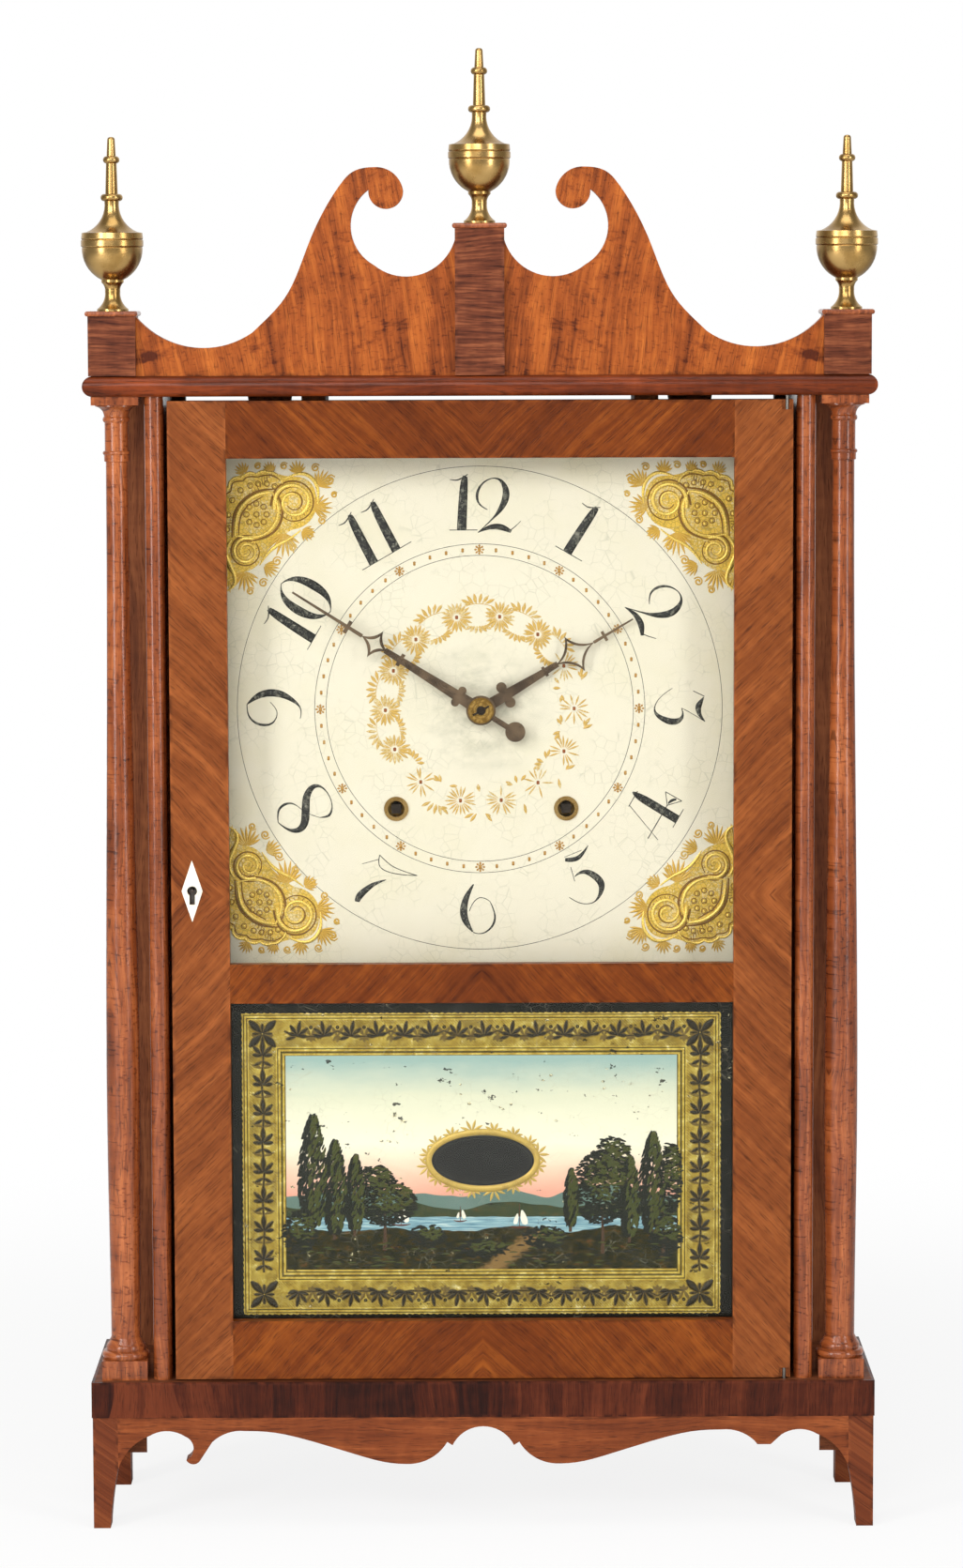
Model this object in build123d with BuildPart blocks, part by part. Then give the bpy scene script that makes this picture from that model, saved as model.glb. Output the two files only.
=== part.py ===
from build123d import *
from math import atan2, cos, degrees, hypot, pi, radians, sin
import os

# Pillar and scroll shelf clock, in millimetres. +Z is up and the dial faces -Y. The origin lies on
# the floor, under the middle of the case.

# Case
case_width = 424.0
case_depth = 110.0
foot_height = 61.0
base_thickness = 19.5
opening_height = 532.0
cornice_thickness = 11.0
cornice_inset = 1.0
facing_thickness = 1.5
edge_round_slack = 0.1

# Skirts, feet and apron under the base
skirt_inset = 0.5
skirt_thickness = 13.5
foot_width = 13.5
foot_taper = 4.4
foot_taper_height = 33.0
apron_thickness = 12.0
apron_drop = 26.0
glue_block_leg = 15.0
glue_block_height = 22.0

# Side boards, back board and movement uprights
side_board_thickness = 10.2
side_board_setback = 6.0
back_board_thickness = 12.5
back_board_rear_inset = 3.0
back_board_side_inset = 12.0
back_notch_width = 324.0
back_notch_depth = 7.0
upright_thickness = 13.0
upright_inner = 83.0
cord_window_bottom = 505.0
cord_window_top = 603.0
cord_window_depth = 14.0

# Columns with their plinth blocks and abaci
column_inset = 17.8
column_setback = 17.8
plinth_block_width = 24.6
plinth_block_height = 10.6
abacus_width = 25.2
abacus_height = 4.5
column_foot_radius = 8.0
column_belly_radius = 8.95
column_top_radius = 5.85
column_neck_radius = 6.3
column_neck_length = 15.0
column_base_radius = 12.2
column_bell_radius = 11.3

# Crest, plinths, caps and finials
crest_height = 109.8
crest_thickness = 8.0
crest_setback = 6.5
centre_plinth_width = 26.2
centre_plinth_height = 77.6
centre_plinth_facing = 4.0
centre_plinth_backing = 8.0
side_plinth_width = 25.2
side_plinth_height = 31.6
side_plinth_inset = 4.2
side_plinth_setback = 2.5
cap_thickness = 2.7
cap_overhang = 1.4
finial_height = 92.0
finial_urn_radius = 16.6
finial_foot_radius = 8.4
finial_spigot_radius = 2.4
finial_spigot_length = 9.0

# Door
pillar_bay_width = 45.6
door_thickness = 16.0
door_setback = 4.0
door_side_gap = 2.2
door_top_gap = 2.3
door_bottom_gap = 0.9
stile_width = 31.1
top_rail_width = 30.6
bottom_rail_width = 31.8
middle_rail_width = 21.1
dial_opening_height = 271.5
rebate_width = 6.0
rebate_depth = 9.0
glass_thickness = 2.2
glass_clearance = 0.3
glass_bead_size = 4.5
hinge_pin_radius = 0.9
hinge_pin_grip = 7.0
hinge_pin_setback = 1.4
hinge_pin_inset = 3.2
hinge_notch_width = 5.5

# Lock
lock_height = 348.0
escutcheon_width = 11.3
escutcheon_height = 33.4
escutcheon_thickness = 1.5
keyhole_radius = 2.7
keyhole_slot_width = 3.0
keyhole_slot_length = 7.4
key_pin_radius = 0.9
lock_case_width = 22.0
lock_case_height = 36.0
lock_case_thickness = 7.6
bolt_height = 8.0
bolt_thickness = 4.0
bolt_length = 19.0
bolt_travel = 5.0
lock_clearance = 0.2

# Dial and movement plates
dial_setback = 33.0
dial_thickness = 5.0
dial_width = 282.0
dial_height = 284.0
hand_axis_drop = 169.5
dial_centre_hole_radius = 6.0
grommet_radius = 6.6
grommet_bore = 4.5
grommet_proud = 0.8
plate_thickness = 6.0
plate_gap = 26.0
plate_height = 180.0
plate_drop = 103.0
dial_to_plate = 5.0
plate_pillar_radius = 4.0
plate_pillar_margin = 9.0

# Arbors, wheels and running fits
running_fit = 0.05
end_shake = 0.3
arbor_radius = 2.5
pivot_radius = 1.5
winding_arbor_radius = 3.0
winding_square = 5.0
winding_spread = 46.0
winding_drop = 54.0
great_teeth = 40
great_pinion_leaves = 8
great_module = 1.7
great_bearing = 101.3
second_teeth = 60
third_teeth = 60
train_leaves = 6
second_module = 0.95
third_module = 0.85
second_bearing = 110.5
escape_teeth = 36
escape_radius = 18.0
escape_waist_radius = 0.9
transfer_teeth = 20
pin_wheel_teeth = 48
pin_wheel_module = 1.1
pin_wheel_bearing = 86.1
lifting_pins = 8
cannon_leaves = 8
motion_teeth = 24
motion_leaves = 6
hour_teeth = 24
motion_distance = 18.0
wheel_thickness = 4.0
thin_wheel = 3.5

# Winding drums, cords, pulleys and weights
drum_radius = 7.3
cord_radius = 0.7
cord_gap = 0.1
cord_depth = 17.0
weight_wall_gap = 19.6
pulley_drop = 20.5
pulley_track_radius = 15.0
pulley_rim_radius = 16.2
pulley_width = 6.4
pulley_pin_radius = 2.0
pulley_block_width = 24.0
pulley_block_height = 28.5
pulley_cheek = 4.0
weight_radius = 20.0
weight_height = 150.0
weight_floor_gap = 15.5
weight_ring_radius = 5.0
weight_ring_wire = 1.3

# Verge, pendulum, bell and hammer
verge_rise = 28.0
pendulum_length = 250.0
pendulum_plane_gap = 7.0
bob_radius = 20.0
bob_thickness = 8.0
pendulum_rod_radius = 0.8
bell_radius = 26.0
bell_height = 26.0
bell_wall = 1.8
bell_offset = 32.0
bell_rise = 97.0
hammer_offset = 64.0
hammer_rise = 62.0
hammer_gap = 1.0

# Hands
minute_hand_length = 119.8
hour_hand_length = 95.5
minute_hand_angle = 302.35
hour_hand_angle = 59.2
hand_thickness = 1.0
hour_pipe_radius = 4.2
hour_hand_gap = 5.0
hand_gap = 2.4
collet_radius = 7.0

os.makedirs("parts", exist_ok=True)

# The centre finial's urn reaches past the case's front, so the case sits half of that further back
centre_plinth_depth = centre_plinth_facing + crest_thickness + centre_plinth_backing
finial_reach = max(0, finial_urn_radius - (crest_setback - centre_plinth_facing) - centre_plinth_depth / 2)

# Planes and faces that several pieces share
front = (finial_reach - case_depth) / 2
rear = (finial_reach + case_depth) / 2
base_top = foot_height + base_thickness
cornice_bottom = base_top + opening_height
cornice_top = cornice_bottom + cornice_thickness
back_board_front = rear - back_board_rear_inset - back_board_thickness
door_width = case_width - 2 * pillar_bay_width
door_front = front + door_setback
door_back = door_front + door_thickness
door_bottom = base_top + door_bottom_gap
door_top = cornice_bottom - door_top_gap
side_board_inner = door_width / 2 + door_side_gap
side_board_outer = side_board_inner + side_board_thickness
pulley_spread = side_board_inner - weight_wall_gap - weight_radius - pulley_track_radius
skirt_outer = case_width / 2 - skirt_inset
skirt_inner = skirt_outer - skirt_thickness
dial_front = front + dial_setback
dial_back = dial_front + dial_thickness
front_plate_front = dial_back + dial_to_plate
front_plate_back = front_plate_front + plate_thickness
back_plate_front = front_plate_back + plate_gap
back_plate_back = back_plate_front + plate_thickness
hand_axis_height = cornice_bottom - hand_axis_drop
plate_bottom = hand_axis_height - plate_drop
plate_top = plate_bottom + plate_height


def front_plane(y):
    """Sketch plane at depth y, seen from the front: local x is +X and local y is +Z."""
    return Plane.XZ.offset(-y)


def turning_plane(x, y):
    """Sketch plane through a vertical axis: local x is the radius and local y is the height."""
    return Plane(origin=(x, y, 0), x_dir=(1, 0, 0), z_dir=(0, -1, 0))


def block(x0, x1, y0, y1, z0, z1, mode=Mode.ADD):
    """Rectangular block between two opposite corners, in the part being built."""
    with Locations(((x0 + x1) / 2, (y0 + y1) / 2, (z0 + z1) / 2)):
        Box(x1 - x0, y1 - y0, z1 - z0, mode=mode)


def rod(x, z, y0, y1, radius, mode=Mode.ADD):
    """Round rod along Y from depth y0 to depth y1, in the part being built."""
    with Locations(Location((x, (y0 + y1) / 2, z), (90, 0, 0))):
        Cylinder(radius, y1 - y0, mode=mode)


def post(x, y, z0, z1, radius, mode=Mode.ADD):
    """Round upright from height z0 to height z1, in the part being built."""
    with Locations((x, y, (z0 + z1) / 2)):
        Cylinder(radius, z1 - z0, mode=mode)


def bearing(origin, target):
    """Angle in degrees of the line from one arbor to another, seen from the front."""
    return degrees(atan2(target[1] - origin[1], target[0] - origin[0]))


def polar(origin, angle, distance):
    """Point at a distance from an arbor, along an angle in degrees seen from the front."""
    return (origin[0] + distance * cos(radians(angle)), origin[1] + distance * sin(radians(angle)))


def toothed_face(teeth, module, phase):
    """Face of a wheel or pinion whose first tooth points along the phase angle."""
    pitch_radius = teeth * module / 2
    step = 360 / teeth
    outline = []
    for tooth in range(teeth):
        centre = phase + tooth * step
        for share, radius in ((-0.24, pitch_radius - 1.05 * module), (-0.09, pitch_radius + 0.75 * module),
                              (0.09, pitch_radius + 0.75 * module), (0.24, pitch_radius - 1.05 * module)):
            angle = radians(centre + share * step)
            outline.append((radius * cos(angle), radius * sin(angle)))
    with BuildSketch() as face:
        with BuildLine():
            Polyline(*outline, close=True)
        make_face()
    return face.sketch


def gap_phase(angle, teeth):
    """Phase that turns a gap between two teeth towards an angle."""
    return angle + 180 / teeth


# Base board, with a cross-banded facing on the front and both ends
with BuildPart() as base_board:
    block(-case_width / 2 + facing_thickness, case_width / 2 - facing_thickness,
          front + facing_thickness, rear, foot_height, base_top)
base_board.part.label = "base_board"
export_step(base_board.part, "parts/base_board.step")

with BuildPart() as base_facing:
    block(-case_width / 2, case_width / 2, front, front + facing_thickness, foot_height, base_top)
    for side in (-1, 1):
        outer, inner = side * case_width / 2, side * (case_width / 2 - facing_thickness)
        block(min(outer, inner), max(outer, inner), front + facing_thickness, rear, foot_height, base_top)
base_facing.part.label = "base_facing"
export_step(base_facing.part, "parts/base_facing.step")


# Front apron: its scrolled lower edge, as shares of the half length and of the deepest drop
def apron_point(side, along, drop):
    """Point of the apron's lower edge on one side of the middle."""
    return (side * along * skirt_inner, foot_height - drop * apron_drop)


def apron_edge(side, hook_whole):
    """Lower edge from the middle arch out to the foot; a broken hook leaves a flat stub."""
    ThreePointArc(apron_point(side, 0, 0.204), apron_point(side, 0.055, 0.34), apron_point(side, 0.084, 0.604))
    Line(apron_point(side, 0.084, 0.604), apron_point(side, 0.0985, 0.535))
    ThreePointArc(apron_point(side, 0.0985, 0.535), apron_point(side, 0.14, 0.86), apron_point(side, 0.211, 1.0))
    Spline(apron_point(side, 0.211, 1.0), apron_point(side, 0.333, 0.831),
           apron_point(side, 0.53, 0.385), apron_point(side, 0.652, 0.288),
           tangents=[(side, 0), (side, 0)])
    ThreePointArc(apron_point(side, 0.652, 0.288), apron_point(side, 0.707, 0.35), apron_point(side, 0.742, 0.523))
    if hook_whole:
        Line(apron_point(side, 0.742, 0.523), apron_point(side, 0.775, 0.908))
        ThreePointArc(apron_point(side, 0.775, 0.908), apron_point(side, 0.797, 0.99),
                      apron_point(side, 0.813, 0.908))
        ThreePointArc(apron_point(side, 0.813, 0.908), apron_point(side, 0.793, 0.65),
                      apron_point(side, 0.816, 0.40))
    else:
        Line(apron_point(side, 0.742, 0.523), apron_point(side, 0.7505, 0.604))
        Line(apron_point(side, 0.7505, 0.604), apron_point(side, 0.787, 0.604))
        Line(apron_point(side, 0.787, 0.604), apron_point(side, 0.816, 0.40))
    ThreePointArc(apron_point(side, 0.816, 0.40), apron_point(side, 0.866, 0.285), apron_point(side, 0.914, 0.388))
    ThreePointArc(apron_point(side, 0.914, 0.388), apron_point(side, 0.966, 0.65), apron_point(side, 1, 1.096))
    Line(apron_point(side, 1, 1.096), apron_point(side, 1, 0))
    Line(apron_point(side, 1, 0), apron_point(side, 0, 0))


with BuildPart() as front_apron:
    with BuildSketch(front_plane(front + skirt_inset)):
        with BuildLine():
            apron_edge(-1, hook_whole=True)
            apron_edge(1, hook_whole=False)
        make_face()
    extrude(amount=-apron_thickness)
front_apron.part.label = "front_apron"
export_step(front_apron.part, "parts/front_apron.step")

# Side skirts: each board is cut with a front foot and a rear foot, and an arch with a middle drop
skirt_front = front + skirt_inset
skirt_middle = (skirt_front + rear) / 2
for side, name in ((-1, "side_skirt_left"), (1, "side_skirt_right")):
    with BuildPart() as side_skirt:
        with BuildSketch(Plane.YZ.offset(side * skirt_outer)):
            with BuildLine():
                for end, tip in ((-1, skirt_front), (1, rear)):
                    foot_inner = tip - end * foot_width
                    arch_start = foot_inner - end * 0.22 * (rear - skirt_middle)
                    Line((tip, foot_height), (tip, 0))
                    Line((tip, 0), (foot_inner, 0))
                    Line((foot_inner, 0), (foot_inner - end * 1.5, 0.5 * foot_height))
                    ThreePointArc((foot_inner - end * 1.5, 0.5 * foot_height),
                                  (foot_inner - end * 4.0, 0.68 * foot_height),
                                  (arch_start, 0.82 * foot_height))
                    ThreePointArc((arch_start, 0.82 * foot_height),
                                  ((arch_start + skirt_middle) / 2, 0.88 * foot_height),
                                  (skirt_middle - end * -3.0, 0.78 * foot_height))
                    Line((skirt_middle - end * -3.0, 0.78 * foot_height), (skirt_middle, 0.72 * foot_height))
                Line((skirt_front, foot_height), (rear, foot_height))
            make_face()
        extrude(amount=-side * skirt_thickness)
        with BuildSketch(front_plane(skirt_front)):
            with BuildLine():
                ThreePointArc((side * skirt_inner, foot_taper_height),
                              (side * (skirt_inner + 0.8 * foot_taper), 0.35 * foot_taper_height),
                              (side * (skirt_inner + foot_taper), 0))
                Line((side * (skirt_inner + foot_taper), 0), (side * (skirt_inner - foot_taper), 0))
                Line((side * (skirt_inner - foot_taper), 0), (side * (skirt_inner - foot_taper), foot_taper_height))
                Line((side * (skirt_inner - foot_taper), foot_taper_height),
                     (side * skirt_inner, foot_taper_height))
            make_face()
        extrude(amount=-case_depth / 2, mode=Mode.SUBTRACT)
    side_skirt.part.label = name
    export_step(side_skirt.part, f"parts/{name}.step")

# Triangular glue blocks in the corners under the base
apron_back = front + skirt_inset + apron_thickness
with BuildPart() as glue_blocks:
    for side in (-1, 1):
        for corner_y, toward in ((apron_back, 1), (rear - glue_block_leg, -1)):
            with BuildSketch(Plane.XY.offset(foot_height - glue_block_height)):
                with BuildLine():
                    Polyline((side * skirt_inner, corner_y), (side * (skirt_inner - glue_block_leg), corner_y),
                             (side * skirt_inner, corner_y + toward * glue_block_leg), close=True)
                make_face()
            extrude(amount=glue_block_height)
glue_blocks.part.label = "glue_blocks"
export_step(glue_blocks.part, "parts/glue_blocks.step")

# Side boards with rounded front edges; the left one has the mortise for the lock bolt
bolt_plane = door_back - lock_case_thickness / 2
side_board_front = front + side_board_setback
with BuildPart() as side_boards:
    for side in (-1, 1):
        middle = side * (side_board_inner + side_board_outer) / 2
        with BuildSketch(Plane.XY.offset(base_top)):
            with Locations((middle, (side_board_front + back_board_front) / 2)):
                board = Rectangle(side_board_thickness, back_board_front - side_board_front)
            fillet(board.vertices().group_by(Axis.Y)[0], side_board_thickness / 2 - edge_round_slack)
        extrude(amount=opening_height)
    mortise = bolt_height / 2 + 3 * lock_clearance
    block(-side_board_inner - bolt_travel, -side_board_inner + 1,
          bolt_plane - bolt_thickness / 2 - 3 * lock_clearance, bolt_plane + bolt_thickness / 2 + 3 * lock_clearance,
          lock_height - mortise, lock_height + mortise, mode=Mode.SUBTRACT)
side_boards.part.label = "side_boards"
export_step(side_boards.part, "parts/side_boards.step")

# Free-standing columns, turned in one with their base mouldings and capitals
column_x = case_width / 2 - column_inset
column_y = front + column_setback
column_bottom = base_top + plinth_block_height
column_top = cornice_bottom - abacus_height
neck_top = column_top - 9.4
neck_bottom = neck_top - column_neck_length
shaft_bottom = column_bottom + 11.5
shaft_top = neck_bottom - 6.0
shaft_length = shaft_top - shaft_bottom
with BuildPart() as columns:
    for side in (-1, 1):
        with BuildSketch(turning_plane(side * column_x, column_y)):
            with BuildLine():
                Line((0, column_bottom), (column_base_radius, column_bottom))
                ThreePointArc((column_base_radius, column_bottom),
                              (column_base_radius + 0.8, column_bottom + 1.9),
                              (column_base_radius, column_bottom + 3.8))
                Line((column_base_radius, column_bottom + 3.8), (column_base_radius - 1.6, column_bottom + 4.4))
                ThreePointArc((column_base_radius - 1.6, column_bottom + 4.4),
                              (column_base_radius - 1.5, column_bottom + 6.4),
                              (column_base_radius - 2.6, column_bottom + 8.2))
                ThreePointArc((column_base_radius - 2.6, column_bottom + 8.2),
                              (0.3 * column_base_radius + 0.7 * column_foot_radius - 0.3, column_bottom + 9.6),
                              (column_foot_radius, shaft_bottom))
                Spline((column_foot_radius, shaft_bottom),
                       (column_belly_radius, shaft_bottom + 0.22 * shaft_length),
                       (0.6 * column_belly_radius + 0.4 * column_top_radius, shaft_bottom + 0.57 * shaft_length),
                       (column_top_radius, shaft_top), tangents=[(0, 1), (0, 1)])
                Line((column_top_radius, shaft_top), (column_neck_radius + 0.4, shaft_top + 0.4))
                Line((column_neck_radius + 0.4, shaft_top + 0.4), (column_neck_radius + 0.4, neck_bottom - 2.2))
                ThreePointArc((column_neck_radius + 0.4, neck_bottom - 2.2),
                              (column_neck_radius + 1.1, neck_bottom - 1.1),
                              (column_neck_radius, neck_bottom))
                Line((column_neck_radius, neck_bottom), (column_neck_radius, neck_top))
                ThreePointArc((column_neck_radius, neck_top), (column_neck_radius + 1.0, neck_top + 1.6),
                              (column_neck_radius + 0.3, neck_top + 3.2))
                ThreePointArc((column_neck_radius + 0.3, neck_top + 3.2),
                              (column_neck_radius + 1.4, neck_top + 6.6),
                              (column_bell_radius, column_top - 0.8))
                Line((column_bell_radius, column_top - 0.8), (column_bell_radius, column_top))
                Line((column_bell_radius, column_top), (0, column_top))
                Line((0, column_top), (0, column_bottom))
            make_face()
        revolve(axis=Axis((side * column_x, column_y, 0), (0, 0, 1)))
columns.part.label = "columns"
export_step(columns.part, "parts/columns.step")

with BuildPart() as column_blocks:
    for side in (-1, 1):
        for width, low, high in ((plinth_block_width, base_top, column_bottom),
                                 (abacus_width, column_top, cornice_bottom)):
            block(side * column_x - width / 2, side * column_x + width / 2,
                  column_y - width / 2, column_y + width / 2, low, high)
column_blocks.part.label = "column_blocks"
export_step(column_blocks.part, "parts/column_blocks.step")

# Cornice: the top board, half-round on its front and ends
cornice_half = case_width / 2 - cornice_inset
with BuildPart() as cornice:
    block(-cornice_half, cornice_half, front, rear, cornice_bottom, cornice_top)
    long_edges = cornice.edges().filter_by(Axis.X).sort_by(Axis.Y)[0:2]
    end_edges = cornice.edges().filter_by(Axis.Y)
    fillet(long_edges + end_edges, cornice_thickness / 2 - edge_round_slack)
cornice.part.label = "cornice"
export_step(cornice.part, "parts/cornice.step")

# Crest: its scrolled top edge, as shares of the width between the plinths and of the crest's height
side_plinth_inner = case_width / 2 - side_plinth_inset - side_plinth_width
side_plinth_x = side_plinth_inner + side_plinth_width / 2
side_plinth_front = front + side_plinth_setback
side_plinth_y = side_plinth_front + side_plinth_width / 2
crest_front = front + crest_setback
crest_back = crest_front + crest_thickness
crest_tab = centre_plinth_width / 2 - 0.4
centre_plinth_top = cornice_top + centre_plinth_height
centre_plinth_front = crest_front - centre_plinth_facing
centre_plinth_back = crest_back + centre_plinth_backing
centre_plinth_y = (centre_plinth_front + centre_plinth_back) / 2


def crest_point(side, across, rise):
    """Point of the crest's edge: across from the centre plinth to the side plinth, and up."""
    return (side * (crest_tab + across * (side_plinth_inner - crest_tab)), cornice_top + rise * crest_height)


with BuildPart() as scroll_board:
    with BuildSketch(front_plane(crest_front)):
        with BuildLine():
            for side in (-1, 1):
                Line((0, cornice_top), (side * side_plinth_inner, cornice_top))
                Line((side * side_plinth_inner, cornice_top), crest_point(side, 1, 0.287))
                ThreePointArc(crest_point(side, 1, 0.287), crest_point(side, 0.79, 0.134),
                              crest_point(side, 0.635, 0.209))
                Spline(crest_point(side, 0.635, 0.209), crest_point(side, 0.536, 0.369),
                       crest_point(side, 0.453, 0.655), crest_point(side, 0.353, 0.929),
                       crest_point(side, 0.254, 1.0), tangents=[(-side * 0.72, 0.69), (-side, 0)])
                ThreePointArc(crest_point(side, 0.254, 1.0), crest_point(side, 0.189, 0.965),
                              crest_point(side, 0.163, 0.888))
                ThreePointArc(crest_point(side, 0.163, 0.888), crest_point(side, 0.216, 0.80),
                              crest_point(side, 0.271, 0.892))
                ThreePointArc(crest_point(side, 0.271, 0.892), crest_point(side, 0.327, 0.729),
                              crest_point(side, 0.2555, 0.531))
                ThreePointArc(crest_point(side, 0.2555, 0.531), crest_point(side, 0.1475, 0.4754),
                              crest_point(side, 0, 0.665))
                Line(crest_point(side, 0, 0.665), (side * crest_tab, centre_plinth_top))
                Line((side * crest_tab, centre_plinth_top), (0, centre_plinth_top))
        make_face()
    extrude(amount=-crest_thickness)
    post(0, centre_plinth_y, centre_plinth_top - finial_spigot_length, centre_plinth_top, finial_spigot_radius,
         mode=Mode.SUBTRACT)
scroll_board.part.label = "scroll_board"
export_step(scroll_board.part, "parts/scroll_board.step")

# Centre plinth: a cross-banded strip on the crest's face, with a backing strip behind it
with BuildPart() as centre_plinth:
    for near, far in ((centre_plinth_front, crest_front), (crest_back, centre_plinth_back)):
        block(-centre_plinth_width / 2, centre_plinth_width / 2, near, far, cornice_top, centre_plinth_top)
    post(0, centre_plinth_y, centre_plinth_top - finial_spigot_length, centre_plinth_top, finial_spigot_radius,
         mode=Mode.SUBTRACT)
centre_plinth.part.label = "centre_plinth"
export_step(centre_plinth.part, "parts/centre_plinth.step")

side_plinth_top = cornice_top + side_plinth_height
with BuildPart() as side_plinths:
    for side in (-1, 1):
        block(side * side_plinth_x - side_plinth_width / 2, side * side_plinth_x + side_plinth_width / 2,
              side_plinth_front, side_plinth_front + side_plinth_width, cornice_top, side_plinth_top)
        post(side * side_plinth_x, side_plinth_y, side_plinth_top - finial_spigot_length,
             side_plinth_top, finial_spigot_radius, mode=Mode.SUBTRACT)
side_plinths.part.label = "side_plinths"
export_step(side_plinths.part, "parts/side_plinths.step")

# Plinth caps with rounded edges, and the places of the three finials on them
finial_places = [(-side_plinth_x, side_plinth_y, side_plinth_top),
                 (0, centre_plinth_y, centre_plinth_top),
                 (side_plinth_x, side_plinth_y, side_plinth_top)]
side_cap = side_plinth_width + 2 * cap_overhang
cap_sizes = [(side_cap, side_cap),
             (centre_plinth_width + 2 * cap_overhang, centre_plinth_depth + 2 * cap_overhang),
             (side_cap, side_cap)]
with BuildPart() as plinth_caps:
    for (x, y, z), (width, depth) in zip(finial_places, cap_sizes):
        with BuildSketch(Plane.XY.offset(z)):
            with Locations((x, y)):
                Rectangle(width, depth)
        extrude(amount=cap_thickness)
    rims = plinth_caps.edges().filter_by(Plane.XY)
    fillet(rims, cap_thickness / 2 - edge_round_slack)
    for x, y, z in finial_places:
        post(x, y, z, z + cap_thickness, finial_spigot_radius, mode=Mode.SUBTRACT)
plinth_caps.part.label = "plinth_caps"
export_step(plinth_caps.part, "parts/plinth_caps.step")

# Turned urn finials with a spigot; radii are shares of the urn, heights are shares of the finial
with BuildPart() as finials:
    for x, y, z in finial_places:
        seat = z + cap_thickness

        def turned(share, height):
            """Point of the finial's profile."""
            return (share * finial_urn_radius, seat + height * finial_height)

        foot = finial_foot_radius / finial_urn_radius
        with BuildSketch(turning_plane(x, y)):
            with BuildLine():
                Line((0, seat - finial_spigot_length), (finial_spigot_radius, seat - finial_spigot_length))
                Line((finial_spigot_radius, seat - finial_spigot_length), (finial_spigot_radius, seat))
                Line((finial_spigot_radius, seat), turned(foot, 0))
                Line(turned(foot, 0), turned(foot, 0.012))
                ThreePointArc(turned(foot, 0.012), turned(0.29, 0.06), turned(0.247, 0.115))
                ThreePointArc(turned(0.247, 0.115), turned(0.27, 0.145), turned(0.36, 0.166))
                Line(turned(0.36, 0.166), turned(0.36, 0.181))
                ThreePointArc(turned(0.36, 0.181), turned(0.81, 0.255), turned(0.975, 0.362))
                Line(turned(0.975, 0.362), turned(0.96, 0.367))
                Line(turned(0.96, 0.367), turned(1, 0.374))
                Line(turned(1, 0.374), turned(1, 0.406))
                Line(turned(1, 0.406), turned(0.97, 0.411))
                Line(turned(0.97, 0.411), turned(0.99, 0.418))
                Line(turned(0.99, 0.418), turned(0.97, 0.450))
                Line(turned(0.97, 0.450), turned(0.82, 0.455))
                ThreePointArc(turned(0.82, 0.455), turned(0.40, 0.515), turned(0.235, 0.632))
                ThreePointArc(turned(0.235, 0.632), turned(0.355, 0.652), turned(0.20, 0.672))
                Line(turned(0.20, 0.672), turned(0.17, 0.848))
                ThreePointArc(turned(0.17, 0.848), turned(0.265, 0.869), turned(0.148, 0.89))
                Line(turned(0.148, 0.89), turned(0.12, 0.985))
                Spline(turned(0.12, 0.985), turned(0, 1), tangents=[(-0.1, 1), (-1, 0)])
                Line(turned(0, 1), (0, seat - finial_spigot_length))
            make_face()
        revolve(axis=Axis((x, y, 0), (0, 0, 1)))
finials.part.label = "finials"
export_step(finials.part, "parts/finials.step")

# Back board, wider than the case's box and notched along its top
back_board_half = case_width / 2 - back_board_side_inset
with BuildPart() as back_board:
    block(-back_board_half, back_board_half, back_board_front, back_board_front + back_board_thickness,
          base_top, cornice_bottom)
    block(-back_notch_width / 2, back_notch_width / 2, back_board_front - 1,
          back_board_front + back_board_thickness + 1, cornice_bottom - back_notch_depth, cornice_bottom + 1,
          mode=Mode.SUBTRACT)
back_board.part.label = "back_board"
export_step(back_board.part, "parts/back_board.step")

# Movement uprights; a window in each lets the weight cord cross it
cord_plane = front_plate_back + cord_depth
with BuildPart() as movement_uprights:
    for side in (-1, 1):
        near, far = side * upright_inner, side * (upright_inner + upright_thickness)
        block(min(near, far), max(near, far), dial_back, back_board_front, base_top, cornice_bottom)
        block(min(near, far) - 1, max(near, far) + 1, cord_plane - cord_window_depth / 2,
              cord_plane + cord_window_depth / 2, cord_window_bottom, cord_window_top, mode=Mode.SUBTRACT)
movement_uprights.part.label = "movement_uprights"
export_step(movement_uprights.part, "parts/movement_uprights.step")

# Dial board, with a hole for the hands and two for the winding squares
winding_height = hand_axis_height - winding_drop
with BuildPart() as dial_board:
    block(-dial_width / 2, dial_width / 2, dial_front, dial_back,
          hand_axis_height - dial_height / 2, hand_axis_height + dial_height / 2)
    rod(0, hand_axis_height, dial_front - 1, dial_back + 1, dial_centre_hole_radius, mode=Mode.SUBTRACT)
    for side in (-1, 1):
        rod(side * winding_spread, winding_height, dial_front - 1, dial_back + 1, grommet_radius,
            mode=Mode.SUBTRACT)
dial_board.part.label = "dial_board"
export_step(dial_board.part, "parts/dial_board.step")

with BuildPart() as winding_grommets:
    for side in (-1, 1):
        rod(side * winding_spread, winding_height, dial_front - grommet_proud, dial_back, grommet_radius)
        rod(side * winding_spread, winding_height, dial_front - grommet_proud, dial_back, grommet_bore,
            mode=Mode.SUBTRACT)
winding_grommets.part.label = "winding_grommets"
export_step(winding_grommets.part, "parts/winding_grommets.step")

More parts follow.
